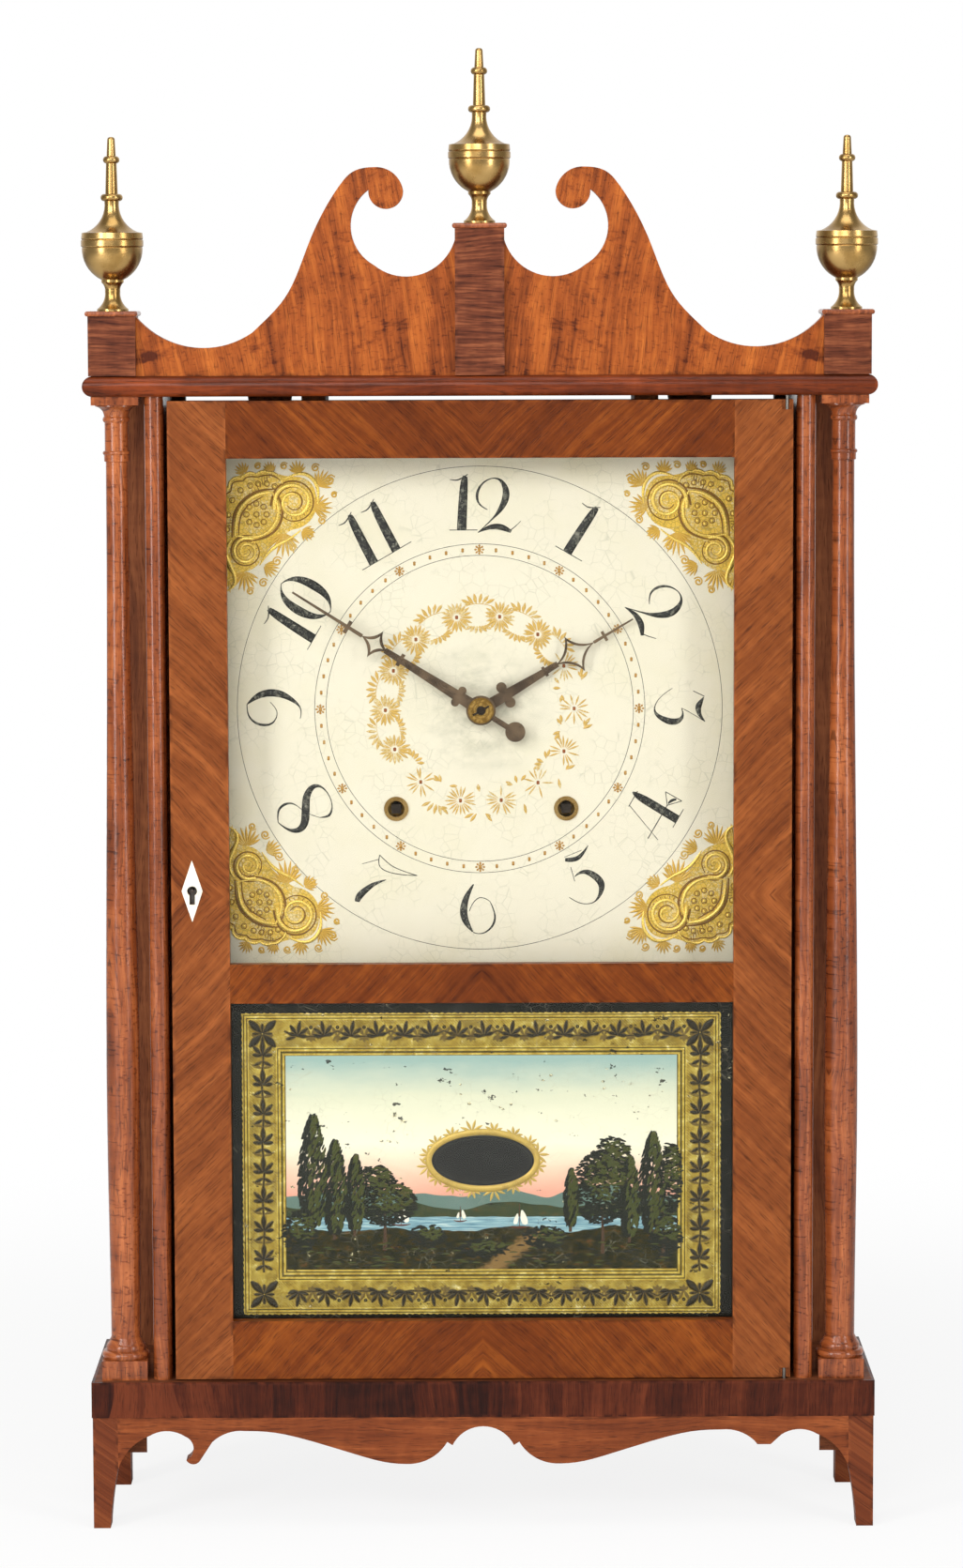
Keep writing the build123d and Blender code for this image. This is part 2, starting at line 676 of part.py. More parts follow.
# Arbor places, worked out from the wheels' sizes
hands_arbor = (0, hand_axis_height)
great_distance = great_module * (great_teeth + great_pinion_leaves) / 2
second_distance = second_module * (second_teeth + train_leaves) / 2
third_distance = third_module * (third_teeth + train_leaves) / 2
pin_wheel_distance = pin_wheel_module * (pin_wheel_teeth + train_leaves) / 2
time_great = (winding_spread, winding_height)
second_arbor = polar(time_great, great_bearing, great_distance)
third_arbor = polar(second_arbor, second_bearing, second_distance)
escape_arbor = (0, third_arbor[1] + (third_distance ** 2 - third_arbor[0] ** 2) ** 0.5)
strike_great = (-winding_spread, winding_height)
pin_arbor = polar(strike_great, 180 - great_bearing, great_distance)
fly_arbor = polar(pin_arbor, pin_wheel_bearing, pin_wheel_distance)
motion_arbor = (0, hand_axis_height - motion_distance)
verge_arbor = (0, escape_arbor[1] + verge_rise)
hammer_arbor = (-hammer_offset, hand_axis_height + hammer_rise)
transfer_module = hypot(second_arbor[0], second_arbor[1] - hand_axis_height) / transfer_teeth
pivoted_arbors = [second_arbor, third_arbor, escape_arbor, pin_arbor, fly_arbor, hammer_arbor, verge_arbor]

# Movement plates; the back plate carries four turned pillars
with BuildPart() as front_plate:
    block(-upright_inner, upright_inner, front_plate_front, front_plate_back, plate_bottom, plate_top)
    for x, z in pivoted_arbors + [motion_arbor]:
        rod(x, z, front_plate_front - 1, front_plate_back + 1, pivot_radius + running_fit, mode=Mode.SUBTRACT)
    for x, z in (time_great, strike_great):
        rod(x, z, front_plate_front - 1, front_plate_back + 1, winding_arbor_radius + running_fit,
            mode=Mode.SUBTRACT)
    rod(*hands_arbor, front_plate_front - 1, front_plate_back + 1, arbor_radius + running_fit,
        mode=Mode.SUBTRACT)
front_plate.part.label = "front_plate"
export_step(front_plate.part, "parts/front_plate.step")

with BuildPart() as back_plate:
    block(-upright_inner, upright_inner, back_plate_front, back_plate_back, plate_bottom, plate_top)
    for x, z in pivoted_arbors + [time_great, strike_great, hands_arbor]:
        rod(x, z, back_plate_front - 1, back_plate_back + 1, pivot_radius + running_fit, mode=Mode.SUBTRACT)
    for side in (-1, 1):
        for z in (plate_bottom + plate_pillar_margin, plate_top - plate_pillar_margin):
            rod(side * (upright_inner - plate_pillar_margin), z, front_plate_back, back_plate_front,
                plate_pillar_radius)
back_plate.part.label = "back_plate"
export_step(back_plate.part, "parts/back_plate.step")

# Depths of the wheels between the plates
great_layer = front_plate_back + 1.0
second_layer = great_layer + wheel_thickness + 2.0
third_layer = second_layer + thin_wheel + 1.5
escape_layer = third_layer + thin_wheel + 2.5
transfer_layer = back_plate_front - 5.0
arbor_front = front_plate_back + end_shake
arbor_back = back_plate_front - end_shake
pivot_front = front_plate_front + end_shake
pivot_back = back_plate_back - end_shake
to_third = bearing(second_arbor, third_arbor)
to_escape = bearing(third_arbor, escape_arbor)
to_hands = bearing(second_arbor, hands_arbor)
to_fly = bearing(pin_arbor, fly_arbor)

# Great wheels, which turn on the winding arbors
for name, centre, angle in (("time_great_wheel", time_great, great_bearing),
                            ("strike_great_wheel", strike_great, 180 - great_bearing)):
    great_face = toothed_face(great_teeth, great_module, angle)
    with BuildPart() as great_wheel:
        with BuildSketch(front_plane(great_layer)):
            with Locations(centre):
                add(great_face)
        extrude(amount=-wheel_thickness)
        rod(*centre, arbor_front, great_layer + wheel_thickness + 2.5, 2 * winding_arbor_radius)
        rod(*centre, arbor_front - 1, great_layer + wheel_thickness + 3.5,
            winding_arbor_radius + running_fit, mode=Mode.SUBTRACT)
    great_wheel.part.label = name
    export_step(great_wheel.part, f"parts/{name}.step")

# Wheels that are fixed on pivoted arbors
second_faces = [
    (toothed_face(great_pinion_leaves, great_module, gap_phase(great_bearing + 180, great_pinion_leaves)),
     great_layer, wheel_thickness),
    (toothed_face(second_teeth, second_module, to_third), second_layer, thin_wheel),
    (toothed_face(transfer_teeth, transfer_module, to_hands), transfer_layer, thin_wheel),
]
third_faces = [
    (toothed_face(train_leaves, second_module, gap_phase(to_third + 180, train_leaves)), second_layer, thin_wheel),
    (toothed_face(third_teeth, third_module, to_escape), third_layer, thin_wheel),
]
pin_faces = [
    (toothed_face(great_pinion_leaves, great_module, gap_phase(360 - great_bearing, great_pinion_leaves)),
     great_layer, wheel_thickness),
    (toothed_face(pin_wheel_teeth, pin_wheel_module, to_fly), second_layer, thin_wheel),
]
for name, centre, faces in (("second_wheel", second_arbor, second_faces), ("third_wheel", third_arbor, third_faces)):
    with BuildPart() as train_wheel:
        for face, depth, thickness in faces:
            with BuildSketch(front_plane(depth)):
                with Locations(centre):
                    add(face)
            extrude(amount=-thickness)
        rod(*centre, arbor_front, arbor_back, arbor_radius if name == "second_wheel" else pivot_radius)
        rod(*centre, pivot_front, pivot_back, pivot_radius)
    train_wheel.part.label = name
    export_step(train_wheel.part, f"parts/{name}.step")

# Pin wheel, whose pins lift the hammer
pin_circle = pin_wheel_teeth * pin_wheel_module / 2 - 4.5
with BuildPart() as pin_wheel:
    for face, depth, thickness in pin_faces:
        with BuildSketch(front_plane(depth)):
            with Locations(pin_arbor):
                add(face)
        extrude(amount=-thickness)
    rod(*pin_arbor, arbor_front, arbor_back, arbor_radius)
    rod(*pin_arbor, pivot_front, pivot_back, pivot_radius)
    for count in range(lifting_pins):
        pin_place = polar(pin_arbor, count * 360 / lifting_pins, pin_circle)
        rod(*pin_place, second_layer + thin_wheel, second_layer + thin_wheel + 3.4, 1.0)
pin_wheel.part.label = "pin_wheel"
export_step(pin_wheel.part, "parts/pin_wheel.step")

# Fly: an air brake of two vanes on the last arbor of the strike train
fly_face = toothed_face(train_leaves, pin_wheel_module, gap_phase(to_fly + 180, train_leaves))
with BuildPart() as fly:
    with BuildSketch(front_plane(second_layer)):
        with Locations(fly_arbor):
            add(fly_face)
    extrude(amount=-thin_wheel)
    rod(*fly_arbor, arbor_front, arbor_back, pivot_radius)
    rod(*fly_arbor, pivot_front, pivot_back, pivot_radius)
    block(fly_arbor[0] - 13, fly_arbor[0] + 13, third_layer + 2.6, arbor_back - 1, fly_arbor[1] - 0.8,
          fly_arbor[1] + 0.8)
fly.part.label = "fly"
export_step(fly.part, "parts/fly.step")

# Escape wheel with raked teeth and four crossings
escape_face = toothed_face(train_leaves, third_module, gap_phase(to_escape + 180, train_leaves))
raked_teeth = []
for tooth in range(escape_teeth):
    angle = tooth * 360 / escape_teeth
    raked_teeth.append(polar((0, 0), angle, escape_radius - 2.6))
    raked_teeth.append(polar((0, 0), angle + 4.5, escape_radius))
    raked_teeth.append(polar((0, 0), angle + 5.5, escape_radius))
with BuildSketch() as escape_rim:
    with BuildLine():
        Polyline(*raked_teeth, close=True)
    make_face()
    Circle(escape_radius - 5.5, mode=Mode.SUBTRACT)
    Circle(4.5)
    with PolarLocations(escape_radius / 2, 4):
        Rectangle(escape_radius - 4, 2.2)
with BuildPart() as escape_wheel:
    with BuildSketch(front_plane(escape_layer)):
        with Locations(escape_arbor):
            add(escape_rim.sketch)
    extrude(amount=-2.0)
    with BuildSketch(front_plane(third_layer)):
        with Locations(escape_arbor):
            add(escape_face)
    extrude(amount=-thin_wheel)
    rod(*escape_arbor, pivot_front, transfer_layer - 0.5, pivot_radius)
    rod(*escape_arbor, transfer_layer - 1, pivot_back, escape_waist_radius)
    rod(*escape_arbor, transfer_layer + thin_wheel + 0.5, pivot_back, pivot_radius)
escape_wheel.part.label = "escape_wheel"
export_step(escape_wheel.part, "parts/escape_wheel.step")

# Verge: its pallets span the escape wheel, and its crutch reaches down behind the back plate
pendulum_plane = back_plate_back + pendulum_plane_gap
crutch_length = 54.0
with BuildSketch() as anchor:
    Circle(4)
    for side in (-1, 1):
        with BuildLine():
            Polyline((0, 3), (side * 17.6, -7.5), (side * 16.4, -16.6), (side * 15.0, -15.4),
                     (side * 14.9, -9.2), (0, -2), close=True)
        make_face()
with BuildPart() as verge:
    rod(*verge_arbor, arbor_front, arbor_back, pivot_radius + 0.5)
    rod(*verge_arbor, pivot_front, pendulum_plane - 2.0, pivot_radius)
    with BuildSketch(front_plane(escape_layer)):
        with Locations(verge_arbor):
            add(anchor.sketch)
    extrude(amount=-2.0)
    crutch_bottom = verge_arbor[1] - crutch_length
    block(-1.5, 1.5, pendulum_plane - 4.7, pendulum_plane - 3.3, crutch_bottom, verge_arbor[1])
    block(-2.6, 2.6, pendulum_plane - 4.7, pendulum_plane - 3.3, crutch_bottom - 2, crutch_bottom + 2)
    for side in (-1, 1):
        block(side * 1.9 - 0.6, side * 1.9 + 0.6, pendulum_plane - 3.3, pendulum_plane + 1.6,
              crutch_bottom - 2, crutch_bottom + 2)
verge.part.label = "verge"
export_step(verge.part, "parts/verge.step")

# Suspension stud on the back board, and the pendulum that hangs from it
eye_half = 0.8
with BuildPart() as suspension_stud:
    rod(*verge_arbor, pendulum_plane - 1.2, back_board_front, pivot_radius)
    rod(*verge_arbor, back_board_front - 2.0, back_board_front, 6.0)
suspension_stud.part.label = "suspension_stud"
export_step(suspension_stud.part, "parts/suspension_stud.step")

bob_height = verge_arbor[1] - pendulum_length
with BuildPart() as pendulum:
    rod(*verge_arbor, pendulum_plane - eye_half, pendulum_plane + eye_half, pivot_radius + 2.0)
    rod(*verge_arbor, pendulum_plane - 1, pendulum_plane + 1, pivot_radius + running_fit, mode=Mode.SUBTRACT)
    post(0, pendulum_plane, bob_height - bob_radius - 5, verge_arbor[1] - pivot_radius - 1, pendulum_rod_radius)
    post(0, pendulum_plane, bob_height - bob_radius - 4, bob_height - bob_radius, 3.0)
    with BuildSketch(Plane(origin=(0, pendulum_plane, bob_height), x_dir=(1, 0, 0), z_dir=(0, 0, 1))):
        with BuildLine():
            ThreePointArc((0, -bob_thickness / 2), (0.6 * bob_radius, -0.36 * bob_thickness), (bob_radius, -0.5))
            Line((bob_radius, -0.5), (bob_radius, 0.5))
            ThreePointArc((bob_radius, 0.5), (0.6 * bob_radius, 0.36 * bob_thickness), (0, bob_thickness / 2))
            Line((0, bob_thickness / 2), (0, -bob_thickness / 2))
        make_face()
    revolve(axis=Axis((0, pendulum_plane, bob_height), (0, 1, 0)))
pendulum.part.label = "pendulum"
export_step(pendulum.part, "parts/pendulum.step")

# Bell on its post, and the hammer beside its rim
bell_mouth = hand_axis_height + bell_rise
bell_y = (front_plate_back + back_plate_back) / 2 + 2.0
bell_foot = plate_top - 8.0
with BuildPart() as bell:
    with BuildSketch(turning_plane(-bell_offset, bell_y)):
        with BuildLine():
            Line((bell_radius, bell_mouth), (bell_radius - bell_wall, bell_mouth))
            ThreePointArc((bell_radius - bell_wall, bell_mouth),
                          (0.72 * (bell_radius - bell_wall), bell_mouth + 0.72 * (bell_height - bell_wall)),
                          (0, bell_mouth + bell_height - bell_wall))
            Line((0, bell_mouth + bell_height - bell_wall), (0, bell_mouth + bell_height))
            ThreePointArc((0, bell_mouth + bell_height), (0.72 * bell_radius, bell_mouth + 0.72 * bell_height),
                          (bell_radius, bell_mouth))
        make_face()
    revolve(axis=Axis((-bell_offset, bell_y, 0), (0, 0, 1)))
    post(-bell_offset, bell_y, bell_foot, bell_mouth + bell_height + 4, 2.0)
    post(-bell_offset, bell_y, bell_mouth + bell_height - 1, bell_mouth + bell_height + 3, 4.0)
    block(-bell_offset - 4, -bell_offset + 4, bell_y - 4, back_plate_front, bell_foot - 4, bell_foot)
bell.part.label = "bell"
export_step(bell.part, "parts/bell.step")

hammer_y = bell_y
hammer_tip_x = -bell_offset - bell_radius - hammer_gap
hammer_height = bell_mouth + 3.0
tail_angle = bearing(hammer_arbor, pin_arbor)
tail_length = hypot(hammer_arbor[0] - pin_arbor[0], hammer_arbor[1] - pin_arbor[1]) - pin_circle - 2.4
tail_end = polar(hammer_arbor, tail_angle, tail_length)
with BuildPart() as hammer:
    rod(*hammer_arbor, arbor_front, arbor_back, pivot_radius + 0.5)
    rod(*hammer_arbor, pivot_front, pivot_back, pivot_radius)
    post(hammer_arbor[0], hammer_y, hammer_arbor[1], hammer_height + 4, 1.0)
    with Locations(Location(((hammer_arbor[0] - 3 + hammer_tip_x) / 2, hammer_y, hammer_height), (0, 90, 0))):
        Cylinder(3.0, hammer_tip_x - hammer_arbor[0] + 3)
    with BuildSketch(front_plane(second_layer + thin_wheel + 0.8)):
        with BuildLine():
            tail_side = polar((0, 0), tail_angle + 90, 0.9)
            Polyline((hammer_arbor[0] + tail_side[0], hammer_arbor[1] + tail_side[1]),
                     (hammer_arbor[0] - tail_side[0], hammer_arbor[1] - tail_side[1]),
                     (tail_end[0] - tail_side[0], tail_end[1] - tail_side[1]),
                     (tail_end[0] + tail_side[0], tail_end[1] + tail_side[1]), close=True)
        make_face()
    extrude(amount=-2.6)
hammer.part.label = "hammer"
export_step(hammer.part, "parts/hammer.step")

# Winding drums on their arbors, with a square at the front for the key
drum_front = great_layer + wheel_thickness + 2.5 + end_shake
for name, centre in (("time_drum", time_great), ("strike_drum", strike_great)):
    with BuildPart() as drum:
        rod(*centre, dial_back - 0.5, arbor_back, winding_arbor_radius)
        rod(*centre, arbor_back - 1, pivot_back, pivot_radius)
        rod(*centre, drum_front, arbor_back, drum_radius)
        rod(*centre, arbor_back - 1.7, arbor_back, 1.8 * drum_radius)
        block(centre[0] - winding_square / 2, centre[0] + winding_square / 2, dial_front - 0.5, dial_back - 0.5,
              centre[1] - winding_square / 2, centre[1] + winding_square / 2)
    drum.part.label = name
    export_step(drum.part, f"parts/{name}.step")

# Pulley blocks under the cornice, each with its wire pin
pulley_height = cornice_bottom - pulley_drop
cheek_inner = pulley_width / 2 + 0.4
with BuildPart() as pulley_blocks:
    for side in (-1, 1):
        x = side * pulley_spread
        with BuildSketch(front_plane(cord_plane - cheek_inner - pulley_cheek)):
            with BuildLine():
                half = pulley_block_width / 2
                Polyline((x - half, cornice_bottom), (x + half, cornice_bottom),
                         (x + 0.6 * half, cornice_bottom - pulley_block_height),
                         (x - 0.6 * half, cornice_bottom - pulley_block_height), close=True)
            make_face()
        extrude(amount=-2 * (cheek_inner + pulley_cheek))
        block(x - 30, x + 30, cord_plane - cheek_inner, cord_plane + cheek_inner, cornice_bottom - 40,
              cornice_bottom - 3.2, mode=Mode.SUBTRACT)
        rod(x, pulley_height, cord_plane - cheek_inner - pulley_cheek, cord_plane + cheek_inner + pulley_cheek,
            pulley_pin_radius)
pulley_blocks.part.label = "pulley_blocks"
export_step(pulley_blocks.part, "parts/pulley_blocks.step")

groove_depth = pulley_rim_radius - pulley_track_radius + cord_radius + cord_gap
for name, side in (("time_pulley", 1), ("strike_pulley", -1)):
    with BuildPart() as pulley:
        with BuildSketch(Plane(origin=(side * pulley_spread, cord_plane, pulley_height))):
            with BuildLine():
                bore = pulley_pin_radius + running_fit
                half = pulley_width / 2
                Line((bore, -half), (pulley_rim_radius, -half))
                Line((pulley_rim_radius, -half), (pulley_rim_radius, -0.75 * half))
                ThreePointArc((pulley_rim_radius, -0.75 * half), (pulley_rim_radius - groove_depth, 0),
                              (pulley_rim_radius, 0.75 * half))
                Line((pulley_rim_radius, 0.75 * half), (pulley_rim_radius, half))
                Line((pulley_rim_radius, half), (bore, half))
                Line((bore, half), (bore, -half))
            make_face()
        revolve(axis=Axis((side * pulley_spread, cord_plane, pulley_height), (0, 1, 0)))
    pulley.part.label = name
    export_step(pulley.part, f"parts/{name}.step")

# Weight cords: a fixed lead from each drum up and over its pulley, then a plumb run to the weight
winding_radius = drum_radius + cord_radius + cord_gap
weight_x = pulley_spread + pulley_track_radius
weight_bottom = base_top + weight_floor_gap
ring_centre = weight_bottom + weight_height + 3.5 + weight_ring_radius
cord_end = ring_centre + weight_ring_radius + weight_ring_wire + running_fit
drum_to_pulley = (pulley_spread - winding_spread, pulley_height - winding_height)
span = hypot(*drum_to_pulley)
along = (drum_to_pulley[0] / span, drum_to_pulley[1] / span)
lean = -(pulley_track_radius + winding_radius) / span
square = (1 - lean ** 2) ** 0.5
normal = (lean * along[0] - square * along[1], lean * along[1] + square * along[0])
lead_start = (winding_spread - winding_radius * normal[0], winding_height - winding_radius * normal[1])
lead_end = (pulley_spread + pulley_track_radius * normal[0], pulley_height + pulley_track_radius * normal[1])
lead_top = polar((pulley_spread, pulley_height), degrees(atan2(normal[1], normal[0])) / 2, pulley_track_radius)
with BuildPart() as cord_leads:
    with BuildLine(front_plane(cord_plane)) as lead_path:
        Line(lead_start, lead_end)
        ThreePointArc(lead_end, lead_top, (weight_x, pulley_height))
    with BuildSketch(Plane(origin=lead_path.line @ 0, z_dir=lead_path.line % 0)):
        Circle(cord_radius)
    sweep(path=lead_path.line)
    mirror(about=Plane.YZ)
cord_leads.part.label = "cord_leads"
export_step(cord_leads.part, "parts/cord_leads.step")

for name, side in (("time_cord", 1), ("strike_cord", -1)):
    with BuildPart() as cord:
        post(side * weight_x, cord_plane, cord_end, pulley_height, cord_radius)
    cord.part.label = name
    export_step(cord.part, f"parts/{name}.step")

# Cast weights with a wire ring
for name, side in (("time_weight", 1), ("strike_weight", -1)):
    with BuildPart() as weight:
        post(side * weight_x, cord_plane, weight_bottom, weight_bottom + weight_height, weight_radius)
        fillet(weight.edges().group_by(Axis.Z)[-1], 0.3 * weight_radius)
        chamfer(weight.edges().group_by(Axis.Z)[0], 2.0)
        post(side * weight_x, cord_plane, weight_bottom + weight_height - 1, ring_centre - weight_ring_radius, 2.4)
        with Locations(Location((side * weight_x, cord_plane, ring_centre), (90, 0, 0))):
            Torus(weight_ring_radius, weight_ring_wire)
    weight.part.label = name
    export_step(weight.part, f"parts/{name}.step")

# Minute arbor with its transfer wheel, cannon pinion, brass collet and taper pin
transfer_face = toothed_face(transfer_teeth, transfer_module, gap_phase(to_hands + 180, transfer_teeth))
cannon_module = 2 * motion_distance / (cannon_leaves + motion_teeth)
hour_module = 2 * motion_distance / (motion_leaves + hour_teeth)
cannon_face = toothed_face(cannon_leaves, cannon_module, -90)
motion_thickness = (dial_to_plate - 4 * end_shake) / 2
cannon_layer = front_plate_front - end_shake - motion_thickness
hour_layer = cannon_layer - end_shake - motion_thickness
hour_hand_back = dial_front - hour_hand_gap + hand_thickness
minute_hand_front = dial_front - hour_hand_gap - hand_gap - hand_thickness
minute_hand_back = minute_hand_front + hand_thickness
minute_tip_radius = 1.6
with BuildPart() as minute_arbor:
    with BuildSketch(front_plane(transfer_layer)):
        with Locations(hands_arbor):
            add(transfer_face)
    extrude(amount=-thin_wheel)
    with BuildSketch(front_plane(cannon_layer)):
        with Locations(hands_arbor):
            add(cannon_face)
    extrude(amount=-motion_thickness)
    rod(*hands_arbor, front_plate_front - end_shake, escape_layer - 1.0, arbor_radius)
    rod(*hands_arbor, escape_layer - 1.5, pivot_back, pivot_radius)
    rod(*hands_arbor, minute_hand_back, front_plate_front, pivot_radius + 0.5)
    rod(*hands_arbor, minute_hand_front - 2.4, minute_hand_back, minute_tip_radius)
    rod(*hands_arbor, minute_hand_front - 1.0, minute_hand_front, collet_radius)
    with Locations(Location((0, minute_hand_front - 1.6, hand_axis_height), (0, 60, 0))):
        Cylinder(0.5, 10)
minute_arbor.part.label = "minute_arbor"
export_step(minute_arbor.part, "parts/minute_arbor.step")

# Motion wheel and pinion, pivoted in the front plate
motion_face = toothed_face(motion_teeth, cannon_module, gap_phase(90, motion_teeth))
motion_pinion_face = toothed_face(motion_leaves, hour_module, 90)
with BuildPart() as motion_wheel:
    with BuildSketch(front_plane(cannon_layer)):
        with Locations(motion_arbor):
            add(motion_face)
    extrude(amount=-motion_thickness)
    with BuildSketch(front_plane(hour_layer)):
        with Locations(motion_arbor):
            add(motion_pinion_face)
    extrude(amount=-(motion_thickness + end_shake))
    rod(*motion_arbor, cannon_layer, front_plate_back - end_shake, pivot_radius)
motion_wheel.part.label = "motion_wheel"
export_step(motion_wheel.part, "parts/motion_wheel.step")

# Hour wheel and the pipe that carries the hour hand
hour_face = toothed_face(hour_teeth, hour_module, gap_phase(-90, hour_teeth))
pipe_front = dial_front - hour_hand_gap - 0.4
with BuildPart() as hour_wheel:
    with BuildSketch(front_plane(hour_layer)):
        with Locations(hands_arbor):
            add(hour_face)
    extrude(amount=-motion_thickness)
    rod(*hands_arbor, pipe_front, hour_layer, hour_pipe_radius)
    rod(*hands_arbor, pipe_front - 1, hour_layer + motion_thickness + 1, pivot_radius + 0.5 + running_fit,
        mode=Mode.SUBTRACT)
hour_wheel.part.label = "hour_wheel"
export_step(hour_wheel.part, "parts/hour_wheel.step")


def diamond_sides(near, wide, half, far):
    """Hollowed sides of a diamond along +Y, in the line being built."""
    for side in (-1, 1):
        ThreePointArc((0, near), (side * 0.36 * half, wide - 0.36 * (wide - near)), (side * half, wide))
        ThreePointArc((side * half, wide), (side * 0.36 * half, wide + 0.36 * (far - wide)), (0, far))


def hand_outline(length, hub, bore, lobe_at, lobe_half, bar_at, diamond_near, diamond_wide,
                 diamond_half, diamond_far, outer_bar_at, root_half):
    """Flat face of a hand that points along +Y, with its hub at the origin.

    The pierced diamond has hollowed sides, and small bars cross the blade before and after it.
    """
    bar_half = 0.03 * length
    wire = 0.0085 * length
    with BuildSketch() as face:
        Circle(hub)
        with BuildLine():
            Polyline((-root_half, 0), (root_half, 0), (0.45 * root_half, diamond_near + 2 * wire),
                     (-0.45 * root_half, diamond_near + 2 * wire), close=True)
        make_face()
        for side in (-1, 1):
            with Locations((side * lobe_half, lobe_at)):
                Circle(0.6 * lobe_half)
        with Locations((0, lobe_at)):
            Rectangle(2 * lobe_half, 0.8 * lobe_half)
        with Locations((0, bar_at), (0, outer_bar_at)):
            Rectangle(2 * bar_half, 2 * wire)
        with BuildLine():
            diamond_sides(diamond_near, diamond_wide, diamond_half, diamond_far)
        make_face()
        rim = 3.2 * wire
        with BuildLine():
            diamond_sides(diamond_near + rim, diamond_wide, diamond_half - rim, diamond_far - rim)
        make_face(mode=Mode.SUBTRACT)
        with BuildLine():
            Polyline((-wire, diamond_far - wire), (wire, diamond_far - wire), (0.5 * wire, length),
                     (-0.5 * wire, length), close=True)
        make_face()
        Circle(bore, mode=Mode.SUBTRACT)
    return face.sketch


minute_face = hand_outline(minute_hand_length, 8.0, minute_tip_radius, 14.1, 3.7, 51.2, 59.0, 67.2, 8.4,
                           76.5, 84.7, 3.4)
hour_outline = hand_outline(hour_hand_length, 7.4, hour_pipe_radius, 15.7, 4.7, 40.3, 46.7, 58.9, 10.8,
                            71.7, 77.6, 3.4)
with BuildPart() as minute_hand:
    with BuildSketch(front_plane(minute_hand_front)):
        with Locations(Location((0, hand_axis_height), -minute_hand_angle)):
            add(minute_face)
            with Locations((0, -21.9)):
                Circle(5.4)
            with Locations((0, -12)):
                Rectangle(3.0, 16)
            Circle(minute_tip_radius, mode=Mode.SUBTRACT)
    extrude(amount=-hand_thickness)
minute_hand.part.label = "minute_hand"
export_step(minute_hand.part, "parts/minute_hand.step")

with BuildPart() as hour_hand:
    with BuildSketch(front_plane(hour_hand_back - hand_thickness)):
        with Locations(Location((0, hand_axis_height), -hour_hand_angle)):
            add(hour_outline)
    extrude(amount=-hand_thickness)
hour_hand.part.label = "hour_hand"
export_step(hour_hand.part, "parts/hour_hand.step")

# Door openings, and the pockets behind them that hold the glass
opening_half = door_width / 2 - stile_width
dial_opening_top = door_top - top_rail_width
dial_opening_bottom = dial_opening_top - dial_opening_height
tablet_opening_top = dial_opening_bottom - middle_rail_width
tablet_opening_bottom = door_bottom + bottom_rail_width
door_openings = [(dial_opening_bottom, dial_opening_top), (tablet_opening_bottom, tablet_opening_top)]
glass_front = door_back - rebate_depth
pocket_half = opening_half + rebate_width


def cut_glass_pockets():
    """Rebates behind both openings, cut from the part being built."""
    for low, high in door_openings:
        block(-pocket_half, pocket_half, glass_front, door_back + 1, low - rebate_width, high + rebate_width,
              mode=Mode.SUBTRACT)


# Door stiles. The left one carries the lock, and the right one turns on the hinge pins
door_half = door_width / 2
hinge_x = door_half - hinge_pin_inset
hinge_y = door_front + hinge_pin_setback
lock_x = -door_half + stile_width / 2 - 4.4
lock_left = -door_half + 1.0
lock_case_front = door_back - lock_case_thickness


def keyhole(depth_from, depth_to):
    """Keyhole through a piece of the door, cut from the part being built."""
    rod(lock_x, lock_height, depth_from, depth_to, keyhole_radius, mode=Mode.SUBTRACT)
    block(lock_x - keyhole_slot_width / 2, lock_x + keyhole_slot_width / 2, depth_from, depth_to,
          lock_height - keyhole_slot_length, lock_height, mode=Mode.SUBTRACT)


def escutcheon_diamond():
    """Corners of the diamond round the keyhole."""
    return [(lock_x - escutcheon_width / 2, lock_height), (lock_x, lock_height + escutcheon_height / 2),
            (lock_x + escutcheon_width / 2, lock_height), (lock_x, lock_height - escutcheon_height / 2)]


with BuildPart() as stile_left:
    block(-door_half, -opening_half, door_front, door_back, door_bottom, door_top)
    cut_glass_pockets()
    with BuildSketch(front_plane(door_front)):
        with BuildLine():
            Polyline(*escutcheon_diamond(), close=True)
        make_face()
    extrude(amount=-escutcheon_thickness, mode=Mode.SUBTRACT)
    keyhole(door_front - 1, door_back)
    block(lock_left, lock_left + lock_case_width, lock_case_front, door_back + 1,
          lock_height - lock_case_height / 2, lock_height + lock_case_height / 2, mode=Mode.SUBTRACT)
    block(-door_half - 1, lock_left, bolt_plane - bolt_thickness / 2 - lock_clearance,
          bolt_plane + bolt_thickness / 2 + lock_clearance, lock_height - bolt_height / 2 - lock_clearance,
          lock_height + bolt_height / 2 + lock_clearance, mode=Mode.SUBTRACT)
stile_left.part.label = "door_stile_left"
export_step(stile_left.part, "parts/door_stile_left.step")

with BuildPart() as stile_right:
    block(opening_half, door_half, door_front, door_back, door_bottom, door_top)
    cut_glass_pockets()
    for end, inward in ((door_top, -1), (door_bottom, 1)):
        bottom_of_hole = end + inward * (hinge_pin_grip + end_shake)
        post(hinge_x, hinge_y, min(end, bottom_of_hole), max(end, bottom_of_hole),
             hinge_pin_radius + running_fit, mode=Mode.SUBTRACT)
        notch_end = end + inward * 0.75 * hinge_pin_grip
        block(hinge_x - hinge_notch_width / 2, hinge_x + hinge_notch_width / 2, door_front - 1, hinge_y,
              min(end, notch_end), max(end, notch_end), mode=Mode.SUBTRACT)
stile_right.part.label = "door_stile_right"
export_step(stile_right.part, "parts/door_stile_right.step")

